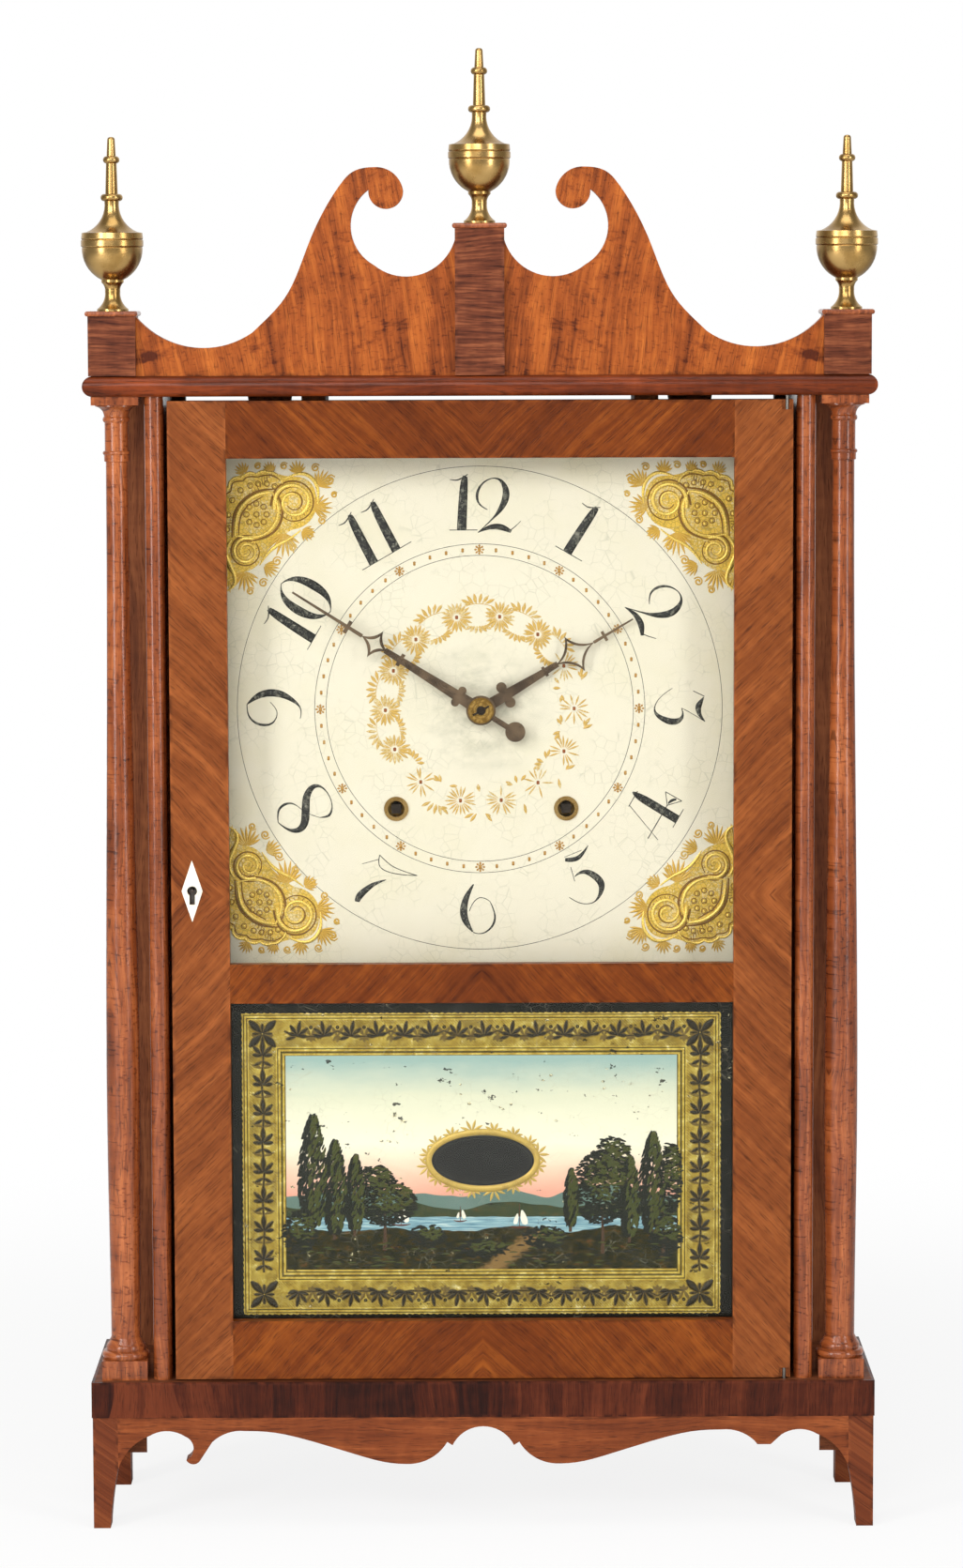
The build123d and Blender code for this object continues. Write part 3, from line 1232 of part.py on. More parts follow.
# Door rails between the stiles
for name, low, high in (("door_rail_top", dial_opening_top, door_top),
                        ("door_rail_middle", tablet_opening_top, dial_opening_bottom),
                        ("door_rail_bottom", door_bottom, tablet_opening_bottom)):
    with BuildPart() as rail:
        block(-opening_half, opening_half, door_front, door_back, low, high)
        cut_glass_pockets()
    rail.part.label = name
    export_step(rail.part, f"parts/{name}.step")

# Glass panes and the beads that hold them in their rebates
for name, (low, high) in (("dial_glass", door_openings[0]), ("tablet_glass", door_openings[1])):
    pane_grip = rebate_width - glass_clearance
    with BuildPart() as pane:
        block(-opening_half - pane_grip, opening_half + pane_grip, glass_front, glass_front + glass_thickness,
              low - pane_grip, high + pane_grip)
    pane.part.label = name
    export_step(pane.part, f"parts/{name}.step")

bead_front = glass_front + glass_thickness
bead_back = bead_front + glass_bead_size
with BuildPart() as glass_beads:
    for low, high in door_openings:
        pocket_low, pocket_high = low - rebate_width, high + rebate_width
        for side in (-1, 1):
            near, far = side * (pocket_half - glass_bead_size), side * pocket_half
            block(min(near, far), max(near, far), bead_front, bead_back, pocket_low, pocket_high)
        for bead_low in (pocket_low, pocket_high - glass_bead_size):
            block(glass_bead_size - pocket_half, pocket_half - glass_bead_size, bead_front, bead_back,
                  bead_low, bead_low + glass_bead_size)
glass_beads.part.label = "glass_beads"
export_step(glass_beads.part, "parts/glass_beads.step")

# Bone escutcheon, let in flush with the stile
with BuildPart() as escutcheon:
    with BuildSketch(front_plane(door_front)):
        with BuildLine():
            Polyline(*escutcheon_diamond(), close=True)
        make_face()
    extrude(amount=-escutcheon_thickness)
    keyhole(door_front - 1, door_front + escutcheon_thickness + 1)
escutcheon.part.label = "escutcheon"
export_step(escutcheon.part, "parts/escutcheon.step")

# Lock case let into the back of the stile, its key pin, and the bolt that slides in it
bolt_left = -door_half + 0.3
with BuildPart() as lock_case:
    block(lock_left, lock_left + lock_case_width, lock_case_front, door_back,
          lock_height - lock_case_height / 2, lock_height + lock_case_height / 2)
    block(lock_left - 1, bolt_left + bolt_length + lock_clearance,
          bolt_plane - bolt_thickness / 2 - lock_clearance, bolt_plane + bolt_thickness / 2 + lock_clearance,
          lock_height - bolt_height / 2 - lock_clearance, lock_height + bolt_height / 2 + lock_clearance,
          mode=Mode.SUBTRACT)
    rod(lock_x, lock_height, door_front + escutcheon_thickness, lock_case_front + 0.5, key_pin_radius)
lock_case.part.label = "lock_case"
export_step(lock_case.part, "parts/lock_case.step")

with BuildPart() as lock_bolt:
    block(bolt_left, bolt_left + bolt_length, bolt_plane - bolt_thickness / 2, bolt_plane + bolt_thickness / 2,
          lock_height - bolt_height / 2, lock_height + bolt_height / 2)
lock_bolt.part.label = "lock_bolt"
export_step(lock_bolt.part, "parts/lock_bolt.step")

# Wire hinge pins, fixed in the cornice above and in the base board below
with BuildPart() as hinge_pins:
    post(hinge_x, hinge_y, door_top - hinge_pin_grip, cornice_bottom, hinge_pin_radius)
    post(hinge_x, hinge_y, base_top, door_bottom + hinge_pin_grip, hinge_pin_radius)
hinge_pins.part.label = "hinge_pins"
export_step(hinge_pins.part, "parts/hinge_pins.step")
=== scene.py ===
"""Looks of the pillar and scroll clock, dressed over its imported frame."""

import logging
import math
import random
from dataclasses import dataclass, field, replace
from enum import Enum

import bpy
from mathutils import Euler, Matrix, Vector


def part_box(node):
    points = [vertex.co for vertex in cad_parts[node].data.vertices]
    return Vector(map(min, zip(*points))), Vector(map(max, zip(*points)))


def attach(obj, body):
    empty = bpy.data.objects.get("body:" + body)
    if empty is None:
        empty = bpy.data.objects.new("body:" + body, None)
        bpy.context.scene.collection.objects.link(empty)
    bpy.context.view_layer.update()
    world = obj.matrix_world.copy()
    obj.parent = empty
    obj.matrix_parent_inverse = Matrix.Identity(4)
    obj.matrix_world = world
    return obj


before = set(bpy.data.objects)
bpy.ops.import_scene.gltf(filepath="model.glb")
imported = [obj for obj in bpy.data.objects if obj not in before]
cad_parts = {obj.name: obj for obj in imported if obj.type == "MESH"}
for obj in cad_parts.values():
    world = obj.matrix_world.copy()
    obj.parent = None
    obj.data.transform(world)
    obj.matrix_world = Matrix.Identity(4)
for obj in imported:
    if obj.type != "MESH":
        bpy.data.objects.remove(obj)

logging.basicConfig(level=logging.INFO, format="%(message)s")
log = logging.getLogger("clock")

MM = 0.001
Colour = tuple[float, float, float, float]
Stroke = list[tuple[float, float, float]]
Outline = list[tuple[float, float]]

HANDS_AXIS = 443.0
DOOR_MIDDLE = 345.0


def tint(red: float, green: float, blue: float) -> Colour:
    """Linear colour of a screen colour.

    Args:
        red, green, blue: the screen values, 0 to 255.

    Returns:
        The linear colour with full alpha.
    """
    parts = [c / 255 for c in (red, green, blue)]
    return tuple(c / 12.92 if c <= 0.04045 else ((c + 0.055) / 1.055) ** 2.4 for c in parts) + (1.0,)


def shaded(colour: Colour, share: float) -> Colour:
    """A linear colour made darker or lighter by a share."""
    return tuple(min(1.0, c * share) for c in colour[:3]) + (1.0,)


class Value:
    """A number that changes over a surface, written in plain arithmetic."""

    def __init__(self, graph: "Graph", socket: bpy.types.NodeSocket) -> None:
        """Wraps one output socket of a graph."""
        self.graph = graph
        self.socket = socket

    def math(self, operation: str, *others: "Value | float") -> "Value":
        """One Math node on this value and others."""
        return self.graph.math(operation, self, *others)

    def __add__(self, other: "Value | float") -> "Value":
        """Sum."""
        return self.math("ADD", other)

    __radd__ = __add__

    def __sub__(self, other: "Value | float") -> "Value":
        """Difference."""
        return self.math("SUBTRACT", other)

    def __rsub__(self, other: float) -> "Value":
        """Difference, the other way round."""
        return self.graph.math("SUBTRACT", other, self)

    def __mul__(self, other: "Value | float") -> "Value":
        """Product."""
        return self.math("MULTIPLY", other)

    __rmul__ = __mul__

    def __truediv__(self, other: "Value | float") -> "Value":
        """Quotient."""
        return self.math("DIVIDE", other)

    def __gt__(self, other: "Value | float") -> "Value":
        """One where this value is the greater, and nought elsewhere."""
        return self.math("GREATER_THAN", other)

    def __lt__(self, other: "Value | float") -> "Value":
        """One where this value is the lesser, and nought elsewhere."""
        return self.math("LESS_THAN", other)

    def __abs__(self) -> "Value":
        """Size without its sign."""
        return self.math("ABSOLUTE")

    def least(self, other: "Value | float") -> "Value":
        """The lesser of two."""
        return self.math("MINIMUM", other)

    def most(self, other: "Value | float") -> "Value":
        """The greater of two."""
        return self.math("MAXIMUM", other)

    def sine(self) -> "Value":
        """Sine."""
        return self.math("SINE")

    def step(self, low: float, high: float) -> "Value":
        """Smooth step from 0 at the low value to 1 at the high one."""
        made = self.graph.node("ShaderNodeMapRange", {"interpolation_type": "SMOOTHSTEP"},
                               {"Value": self, "From Min": low, "From Max": high})
        return Value(self.graph, made.outputs[0])


class Graph:
    """A material, or the world, in the making."""

    def __init__(self, name: str, world: bool = False) -> None:
        """Starts an empty material or world of that name."""
        self.material = (bpy.data.worlds if world else bpy.data.materials).new(name)
        self.material.use_nodes = True
        self.nodes = self.material.node_tree.nodes
        self.links = self.material.node_tree.links
        self.nodes.clear()

    def node(self, kind: str, settings: dict | None = None, inputs: dict | None = None) -> bpy.types.Node:
        """Adds one node.

        Args:
            kind: the node's type.
            settings: its settings, and "stops" for a colour ramp's places and colours.
            inputs: values or links of its sockets, by name or number.

        Returns:
            The node.
        """
        made = self.nodes.new(kind)
        for key, value in (settings or {}).items():
            if key != "stops":
                setattr(made, key, value)
                continue
            ramp = made.color_ramp
            while len(ramp.elements) < len(value):
                ramp.elements.new(0.5)
            for element, (place, colour) in zip(ramp.elements, value):
                element.position = place
                element.color = colour
        for key, value in (inputs or {}).items():
            source = value.socket if isinstance(value, Value) else value
            if isinstance(source, bpy.types.NodeSocket):
                self.links.new(source, made.inputs[key])
            else:
                made.inputs[key].default_value = source
        return made

    def math(self, operation: str, *values: Value | float) -> Value:
        """One Math node on values and numbers."""
        made = self.node("ShaderNodeMath", {"operation": operation}, dict(enumerate(values)))
        return Value(self, made.outputs[0])

    def place(self) -> tuple[Value, Value, Value]:
        """Place in the clock's own frame, in millimetres.

        Returns:
            X to the right, Y backwards and Z upwards.
        """
        source = self.node("ShaderNodeTexCoord")
        parts = self.node("ShaderNodeSeparateXYZ", inputs={0: source.outputs["Object"]})
        return tuple(Value(self, parts.outputs[i]) * 1000.0 for i in range(3))

    def noise(self, x: Value | float, y: Value | float, z: Value | float, detail: float = 2.0,
              roughness: float = 0.5) -> Value:
        """Soft noise from 0 to 1, one unit of each coordinate to a lump.

        Args:
            x, y, z: the coordinates.
            detail: how many finer layers are added.
            roughness: how strong the finer layers are.

        Returns:
            The noise.
        """
        vector = self.node("ShaderNodeCombineXYZ", inputs={0: x, 1: y, 2: z})
        made = self.node("ShaderNodeTexNoise", inputs={
            "Vector": vector.outputs[0], "Scale": 1.0, "Detail": detail, "Roughness": roughness})
        return Value(self, made.outputs[0])

    def cells(self, x: Value, y: Value | float, z: Value, feature: str = "F1") -> Value:
        """Distance within random cells of about one unit."""
        vector = self.node("ShaderNodeCombineXYZ", inputs={0: x, 1: y, 2: z})
        made = self.node("ShaderNodeTexVoronoi", {"feature": feature},
                         {"Vector": vector.outputs[0], "Scale": 1.0})
        return Value(self, made.outputs["Distance"])

    def ramp(self, value: Value, *stops: tuple[float, Colour]) -> bpy.types.NodeSocket:
        """Colour along a ramp."""
        return self.node("ShaderNodeValToRGB", {"stops": stops}, {0: value}).outputs[0]

    def mix(self, share: Value | float, first: bpy.types.NodeSocket | Colour,
            second: bpy.types.NodeSocket | Colour) -> bpy.types.NodeSocket:
        """Mix of two colours, with a share of the second."""
        return self.node("ShaderNodeMix", {"data_type": "RGBA"}, {0: share, 6: first, 7: second}).outputs[2]

    def bump(self, height: Value, depth: float) -> bpy.types.NodeSocket:
        """Normal of a surface raised by a height, of a depth in millimetres."""
        return self.node("ShaderNodeBump", inputs={"Height": height, "Distance": depth * MM}).outputs[0]

    def finish(self, inputs: dict) -> bpy.types.Material:
        """Ends the material in one principled surface.

        Args:
            inputs: values or links of the surface's sockets.

        Returns:
            The material.
        """
        surface = self.node("ShaderNodeBsdfPrincipled", inputs=inputs)
        self.node("ShaderNodeOutputMaterial", inputs={0: surface.outputs[0]})
        return self.material


def edge_nearness(graph: Graph, box: tuple[Vector, Vector], reach: float) -> Value:
    """How near a point is to an edge of a squared piece.

    Args:
        graph: the material in the making.
        box: the piece's corners, in metres.
        reach: how far in from the edge it fades, in millimetres.

    Returns:
        One at the edge and nought from the reach inwards.
    """
    low, high = box
    gaps = [(p - low[i] * 1000).least(high[i] * 1000 - p) for i, p in enumerate(graph.place())]
    lowest = gaps[0].least(gaps[1]).least(gaps[2])
    highest = gaps[0].most(gaps[1]).most(gaps[2])
    middle = gaps[0] + gaps[1] + gaps[2] - lowest - highest
    return 1.0 - middle.step(0.0, reach)


class Grain(Enum):
    """How the figure of the wood runs on a piece."""

    UPRIGHT = "upright"
    LEVEL = "level"
    DEEP = "deep"
    FEATHER = "feather"
    CREST = "crest"
    BANDED = "banded"


@dataclass(frozen=True)
class Wood:
    """Polished or plain wood with bands, fibres, pores and worn edges."""

    name: str
    light: Colour
    middle: Colour
    dark: Colour
    grain: Grain = Grain.UPRIGHT
    band: float = 16.0
    figure: float = 1.0
    fibre: float = 0.55
    pores: float = 0.5
    fleck: float = 0.0
    patches: float = 0.0
    blotches: float = 0.0
    roughness: float = 0.36
    polish: float = 0.07
    wear: float = 0.4

    def run(self, graph: Graph) -> tuple[Value, Value]:
        """Distances across and along the grain, in millimetres."""
        x, y, z = graph.place()
        if self.grain is Grain.UPRIGHT:
            return x + y * 0.83, z
        if self.grain is Grain.LEVEL:
            return z + y * 0.71, x
        if self.grain is Grain.DEEP:
            return z + x * 0.71, y
        if self.grain is Grain.FEATHER:
            rise = abs(z - DOOR_MIDDLE)
            return (abs(x) - rise) * 0.7071 + y * 0.9, (abs(x) + rise) * 0.7071
        if self.grain is Grain.CREST:
            return abs(x) * 0.98 - z * 0.19 + y * 0.8, z * 0.98 + abs(x) * 0.19
        return x + y * 0.9, z

    def material(self, node: str) -> bpy.types.Material:
        """Makes the wood for one node, with a seed and worn edges of its own.

        Args:
            node: the node's name.

        Returns:
            The material.
        """
        graph = Graph(f"{self.name}_{node}")
        seed = random.Random(node).uniform(3.0, 90.0)
        across, along = self.run(graph)
        sway = graph.noise(across / 60.0, along / 90.0, seed + 7.0, 1.0) - 0.5
        across = across + sway * 14.0
        broad = graph.noise(across / self.band, along / (self.band * 9.0), seed, 3.0, 0.55)
        stripe = graph.noise(across / (self.band * 0.28), along / (self.band * 7.0), seed + 3.0, 2.0)
        fine = graph.noise(across / 1.3, along / 38.0, seed + 11.0, 3.0, 0.6)
        hair = graph.noise(across / 0.45, along / 9.0, seed + 19.0, 1.0)
        pore = hair.step(0.58, 0.7)
        glow = graph.noise(across / 11.0, along / 6.0, seed + 29.0, 2.0)
        tone = 0.5 + (broad - 0.5) * (1.5 * self.figure) + (stripe - 0.5) * (0.45 * self.figure)
        thread = graph.noise(across / 2.6, along / 60.0, seed + 71.0, 2.0)
        tone = tone + (fine - 0.5) * self.fibre + (thread - 0.5) * 0.55 + (glow - 0.5) * 0.3
        if self.blotches:
            blotch = graph.noise(across / 26.0, along / 11.0, seed + 61.0, 4.0, 0.65).step(0.52, 0.7)
            spread = graph.noise(across / 60.0, along / 60.0, seed + 67.0, 1.0).step(0.4, 0.6)
            tone = tone - blotch * spread * self.blotches
        if self.fleck:
            fleck = graph.noise(across / 3.2, along / 1.5, seed + 37.0, 2.0).step(0.56, 0.72)
            tone = tone - fleck * self.fleck
        if self.patches:
            cell = (across / 42.0 + sway * 0.6).math("FLOOR")
            tone = tone + (graph.noise(cell * 3.7, 0.5, seed + 41.0, 0.0) - 0.5) * self.patches
        colour = graph.ramp(tone, (0.08, self.dark), (0.5, self.middle), (0.92, self.light))
        deep = shaded(self.dark, 0.32)
        colour = graph.mix(pore * self.pores, colour, deep)
        edge = edge_nearness(graph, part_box(node), 2.2)
        rub = graph.noise(across / 5.0, along / 17.0, seed + 53.0, 3.0)
        worn = edge * rub.step(0.42, 0.66) * self.wear
        colour = graph.mix(worn * 0.55, colour, shaded(self.light, 1.45))
        grime = edge * (1.0 - rub.step(0.36, 0.52)) * 0.55
        colour = graph.mix(grime, colour, deep)
        roughness = self.roughness + (fine - 0.5) * 0.16 + pore * 0.16 + worn * 0.14 + (rub - 0.5) * 0.1
        return graph.finish({
            "Base Color": colour, "Roughness": roughness, "Coat Weight": self.polish, "Coat Roughness": 0.22,
            "Specular IOR Level": 0.1, "Normal": graph.bump(fine * 0.35 - pore * 0.8, 0.09)})


@dataclass(frozen=True)
class Metal:
    """Metal with its patina, stains and the marks of its making."""

    name: str
    bright: Colour
    dull: Colour
    stain: Colour
    metallic: float = 1.0
    roughness: float = 0.3
    stained: float = 0.5
    turned: bool = False
    pitted: float = 0.1

    def material(self) -> bpy.types.Material:
        """Makes the metal."""
        graph = Graph(self.name)
        x, y, z = graph.place()
        cloud = graph.noise(x / 14.0, y / 14.0, z / 14.0, 2.0 if self.turned else 4.0, 0.5)
        spot = graph.noise(x / 2.1, y / 2.1, z / 2.1, 3.0, 0.6)
        speck = graph.noise(x / 0.6, y / 0.6, z / 0.6, 1.0)
        colour = graph.mix(cloud.step(0.35, 0.65), self.bright, self.dull)
        stain = (spot * 0.6 + cloud * 0.4).step(0.5, 0.62) * self.stained
        colour = graph.mix(stain, colour, self.stain)
        colour = graph.mix(speck.step(0.66, 0.74) * self.pitted, colour, self.stain)
        height = speck * self.pitted
        if self.turned:
            rings = graph.noise(z / 0.6, 0.0, 4.0, 1.0)
            height = height + rings * 0.25
        else:
            height = height + graph.noise(x / 0.5, y / 0.5, z / 7.0, 1.0) * 0.3
        return graph.finish({
            "Base Color": colour, "Metallic": self.metallic,
            "Roughness": self.roughness + (cloud - 0.5) * 0.1 + stain * 0.2,
            "Normal": graph.bump(height, 0.012)})


@dataclass(frozen=True)
class ArborMetal:
    """Brass wheels and steel arbor in one piece: the tip, the pin and the winding square are dark iron."""

    name: str
    brass: Colour = tint(196, 158, 88)
    tarnish: Colour = tint(128, 96, 46)
    iron: Colour = tint(56, 46, 38)
    collet: float = 0.0
    square_reach: float = -9.0
    pin_front: float = -29.42

    def material(self) -> bpy.types.Material:
        """Makes the metal, with its dark parts found by their place."""
        graph = Graph(self.name)
        x, y, z = graph.place()
        spot = graph.noise(x / 1.6, y / 1.6, z / 1.6, 4.0, 0.6)
        colour = graph.mix(spot.step(0.35, 0.65), self.brass, self.tarnish)
        if self.collet:
            rise = z - HANDS_AXIS
            radius = (x * x + rise * rise).math("SQRT")
            rings = (radius * 4.4).sine() * 0.5 + 0.5
            dark = (1.0 - radius.step(2.3, 2.7)).most(y < self.pin_front)
            rim = radius.step(self.collet - 1.1, self.collet - 0.5).most(1.0 - abs(radius - 4.4).step(0.2,
                                                                                                      0.5))
            colour = graph.mix(rim * 0.7, colour, self.tarnish)
        else:
            rings = graph.noise(x / 0.5, y / 0.5, z / 0.5, 1.0)
            dark = y < self.square_reach
        colour = graph.mix(dark, colour, graph.mix(spot, self.iron, tint(34, 27, 22)))
        return graph.finish({
            "Base Color": colour, "Metallic": 1.0 - dark * 0.4, "Roughness": 0.34 + (spot - 0.5) * 0.3,
            "Normal": graph.bump(rings * 0.4 + spot, 0.03)})


@dataclass(frozen=True)
class Paint:
    """Old ivory paint on a board, with smudges and fine crackle, and painted shade towards its edges where
    the door frame shades it.
    """

    name: str = "ivory_paint"
    ground: Colour = tint(224, 216, 197)
    shade: Colour = tint(214, 206, 174)
    dirt: Colour = tint(150, 150, 130)

    def material(self) -> bpy.types.Material:
        """Makes the dial's paint."""
        graph = Graph(self.name)
        x, y, z = graph.place()
        rise = z - HANDS_AXIS
        radius = (x * x + rise * rise).math("SQRT")
        cloud = graph.noise(x / 46.0, y / 46.0, z / 46.0, 4.0, 0.6)
        smear = graph.noise(x / 15.0, y / 9.0, z / 9.0, 4.0, 0.65)
        crack = graph.cells(x / 6.0, y / 6.0, z / 6.0, "DISTANCE_TO_EDGE")
        crack = (1.0 - crack.step(0.0, 0.035)) * graph.noise(x / 20.0, 3.0, z / 20.0, 2.0).step(0.42, 0.6)
        middle = (1.0 - radius.step(8.0, 46.0)) * smear.step(0.35, 0.7)
        # Painted shade: the paint turns darker and browner towards the edges of the opening, where the door
        # frame casts its shade.
        frame_shade = abs(x).step(108.0, 138.0).most(abs(rise).step(112.0, 138.0)) * cloud.step(0.3, 0.7)
        colour = graph.mix(cloud.step(0.4, 0.75) * 0.34, self.ground, self.shade)
        colour = graph.mix(frame_shade * 0.2, colour, tint(206, 190, 142))
        colour = graph.mix(middle * 0.5, colour, self.dirt)
        colour = graph.mix(smear.step(0.6, 0.8) * 0.22, colour, self.dirt)
        colour = graph.mix(crack * 0.3, colour, self.dirt)
        speck = graph.noise(x / 0.8, y, z / 0.8, 1.0).step(0.72, 0.78)
        colour = graph.mix(speck * 0.35, colour, self.dirt)
        return graph.finish({
            "Base Color": colour, "Roughness": 0.46 + (smear - 0.5) * 0.2, "Specular IOR Level": 0.3,
            "Normal": graph.bump(smear * 0.3 - crack, 0.05)})


@dataclass(frozen=True)
class Glass:
    """Thin clear glass that shows what stands behind it, with a weak gloss and faint ripples."""

    name: str
    gloss: float = 0.3
    dust: Colour = tint(225, 228, 220)

    def material(self) -> bpy.types.Material:
        """Makes the glass."""
        graph = Graph(self.name)
        x, y, z = graph.place()
        ripple = graph.noise(x / 60.0, y / 60.0, z / 24.0, 2.0)
        film = graph.noise(x / 18.0, y / 18.0, z / 18.0, 4.0, 0.6)
        clear = graph.node("ShaderNodeBsdfTransparent", inputs={0: (0.985, 0.99, 0.98, 1.0)})
        shine = graph.node("ShaderNodeBsdfPrincipled", inputs={
            "Base Color": self.dust, "Metallic": 1.0, "Roughness": 0.03 + film * 0.05,
            "Normal": graph.bump(ripple, 0.25)})
        rim = Value(graph, graph.node("ShaderNodeFresnel", inputs={"IOR": 1.45}).outputs[0])
        share = rim * self.gloss + film.step(0.55, 0.85) * 0.012
        both = graph.node("ShaderNodeMixShader", inputs={0: share, 1: clear.outputs[0], 2: shine.outputs[0]})
        graph.node("ShaderNodeOutputMaterial", inputs={0: both.outputs[0]})
        return graph.material


@dataclass(frozen=True)
class Leaf:
    """Gold leaf or gilt paint, rubbed through in places."""

    name: str
    gold: Colour
    ground: Colour
    metallic: float = 0.6
    roughness: float = 0.38
    rubbed: float = 0.4
    relief: float = 0.03
    veined: float = 0.0

    def material(self) -> bpy.types.Material:
        """Makes the leaf."""
        graph = Graph(self.name)
        x, y, z = graph.place()
        cloud = graph.noise(x / 9.0, y / 9.0, z / 9.0, 4.0, 0.6)
        grit = graph.noise(x / 0.7, y / 0.7, z / 0.7, 2.0)
        rub = (cloud * 0.55 + grit * 0.45).step(0.5, 0.62) * self.rubbed
        colour = graph.mix(rub, self.gold, self.ground)
        vein = graph.cells(x / 2.2 + cloud * 1.5, y, z / 2.2, "DISTANCE_TO_EDGE").step(0.0, 0.12)
        colour = graph.mix((1.0 - vein) * self.veined, colour, shaded(self.gold, 0.35))
        colour = graph.mix(cloud.step(0.3, 0.7) * 0.25, colour, shaded(self.gold, 0.6))
        return graph.finish({
            "Base Color": colour, "Metallic": (1.0 - rub) * self.metallic,
            "Roughness": self.roughness + rub * 0.25 + (grit - 0.5) * 0.12,
            "Normal": graph.bump(grit * 0.5 + cloud, self.relief)})


@dataclass(frozen=True)
class Pigment:
    """A plain brushed pigment with thin places and scratches."""

    name: str
    colour: Colour
    worn: Colour
    scratches: float = 0.5
    roughness: float = 0.5

    def material(self) -> bpy.types.Material:
        """Makes the pigment."""
        graph = Graph(self.name)
        x, y, z = graph.place()
        cloud = graph.noise(x / 3.0, y / 3.0, z / 3.0, 3.0, 0.6)
        line = graph.noise(x / 0.35, 0.0, z / 3.2, 2.0, 0.6)
        cross = graph.noise(x / 3.0, 5.0, z / 0.3, 2.0, 0.6)
        scratch = line.most(cross).step(0.62, 0.7) * self.scratches
        colour = graph.mix(scratch, self.colour, self.worn)
        colour = graph.mix(cloud.step(0.5, 0.75) * 0.3, colour, self.worn)
        return graph.finish({
            "Base Color": colour, "Roughness": self.roughness + (cloud - 0.5) * 0.2,
            "Specular IOR Level": 0.3,
            "Normal": graph.bump(cloud, 0.02)})


@dataclass(frozen=True)
class Bone:
    """Polished bone with fine lines along it and dirt in its edge."""

    name: str = "polished_bone"

    def material(self) -> bpy.types.Material:
        """Makes the bone."""
        graph = Graph(self.name)
        x, y, z = graph.place()
        line = graph.noise(x / 0.5, y / 0.5, z / 7.0, 3.0)
        cloud = graph.noise(x / 5.0, y / 5.0, z / 5.0, 3.0)
        colour = graph.mix(cloud.step(0.4, 0.8) * 0.5, tint(238, 232, 212), tint(206, 192, 156))
        colour = graph.mix(line.step(0.6, 0.75) * 0.4, colour, tint(150, 128, 92))
        edge = edge_nearness(graph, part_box("escutcheon"), 1.0)
        colour = graph.mix(edge * 0.3, colour, tint(120, 96, 64))
        return graph.finish({
            "Base Color": colour, "Roughness": 0.34 + (cloud - 0.5) * 0.15, "Specular IOR Level": 0.45,
            "Normal": graph.bump(line, 0.02)})


@dataclass(frozen=True)
class CordTwist:
    """Twisted linen cord."""

    name: str = "twisted_cord"

    def material(self) -> bpy.types.Material:
        """Makes the cord's finish."""
        graph = Graph(self.name)
        x, y, z = graph.place()
        strand = ((z * 1.6 + x * 2.0 + y * 2.0) * 2.4).sine() * 0.5 + 0.5
        fuzz = graph.noise(x / 0.5, y / 0.5, z / 0.8, 3.0)
        colour = graph.mix(strand * 0.6 + fuzz * 0.3, tint(120, 100, 72), tint(188, 168, 130))
        return graph.finish({
            "Base Color": colour, "Roughness": 0.85 + fuzz * 0.1,
            "Normal": graph.bump(strand + fuzz * 0.5, 0.15)})


GILT = Leaf("gilt_relief", tint(244, 210, 104), tint(196, 150, 56), 0.45, 0.28, 0.3, 0.05)
GILT_LEAF = Leaf("gilt_leafage", tint(206, 162, 62), tint(232, 212, 150), 0.3, 0.4, 0.4, 0.04)
GILT_WASH = Leaf("gilt_wash", tint(224, 184, 70), tint(232, 220, 182), 0.35, 0.34, 0.8, 0.2, 0.6)
GOLD_TAN = Leaf("gold_tan_paint", tint(206, 166, 82), tint(236, 222, 178), 0.15, 0.46, 0.8, 0.02)
# Painted shade: brown for the lines and rings that darken the hollows of the gilt corners.
PAINTED_SHADE_LINE = Pigment("painted_shade_line", tint(122, 84, 26), tint(176, 134, 58), 0.4)
GOLD_BROWN = Leaf("gold_brown_paint", tint(176, 128, 52), tint(214, 180, 118), 0.15, 0.46, 0.5, 0.02)
BLACK_PAINT = Pigment("black_paint", tint(34, 34, 33), tint(206, 202, 182), 0.75)
STENCIL = Pigment("stencil_shade", tint(30, 24, 10), tint(118, 96, 38), 0.3, 0.42)
STENCIL_HALF = Pigment("stencil_half_shade", tint(104, 84, 34), tint(164, 140, 62), 0.5, 0.42)
BRASS = Metal("aged_brass", tint(186, 152, 96), tint(160, 126, 72), tint(92, 66, 36), 1.0, 0.27, 0.1, True,
              0.0)
WORKS_BRASS = Metal("works_brass", tint(196, 160, 92), tint(160, 124, 66), tint(84, 60, 32), 1.0, 0.36, 0.5)
STEEL = Metal("dark_steel", tint(120, 116, 110), tint(84, 80, 76), tint(70, 46, 30), 1.0, 0.4, 0.5)
IRON = Metal("browned_iron", tint(112, 92, 72), tint(74, 60, 48), tint(52, 38, 26), 0.65, 0.5, 0.45, False,
             0.5)
CAST_IRON = Metal("cast_iron", tint(62, 60, 58), tint(44, 43, 42), tint(88, 52, 30), 0.7, 0.62, 0.45, False,
                  1.0)


def put(obj: bpy.types.Object, material: bpy.types.Material) -> None:
    """Gives an object one material in all its slots."""
    slots = obj.data.materials
    for i in range(len(slots)):
        slots[i] = material
    if not slots:
        slots.append(material)


def settle(obj: bpy.types.Object, name: str, body: str, material: bpy.types.Material) -> None:
    """Names, dresses and hangs a finished piece on its body.

    Args:
        obj: the piece, a mesh in its place.
        name: the piece's name.
        body: the body it rides on.
        material: its finish.
    """
    obj.name = name
    put(obj, material)
    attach(obj, body)
    log.info("%s: %d faces", name, len(obj.data.polygons))


def flat_curve(name: str) -> bpy.types.Object:
    """Starts an empty curve object."""
    bpy.ops.object.select_all(action="DESELECT")
    bpy.ops.curve.primitive_nurbs_path_add()
    obj = bpy.context.object
    obj.name = name
    obj.data.splines.clear()
    return obj


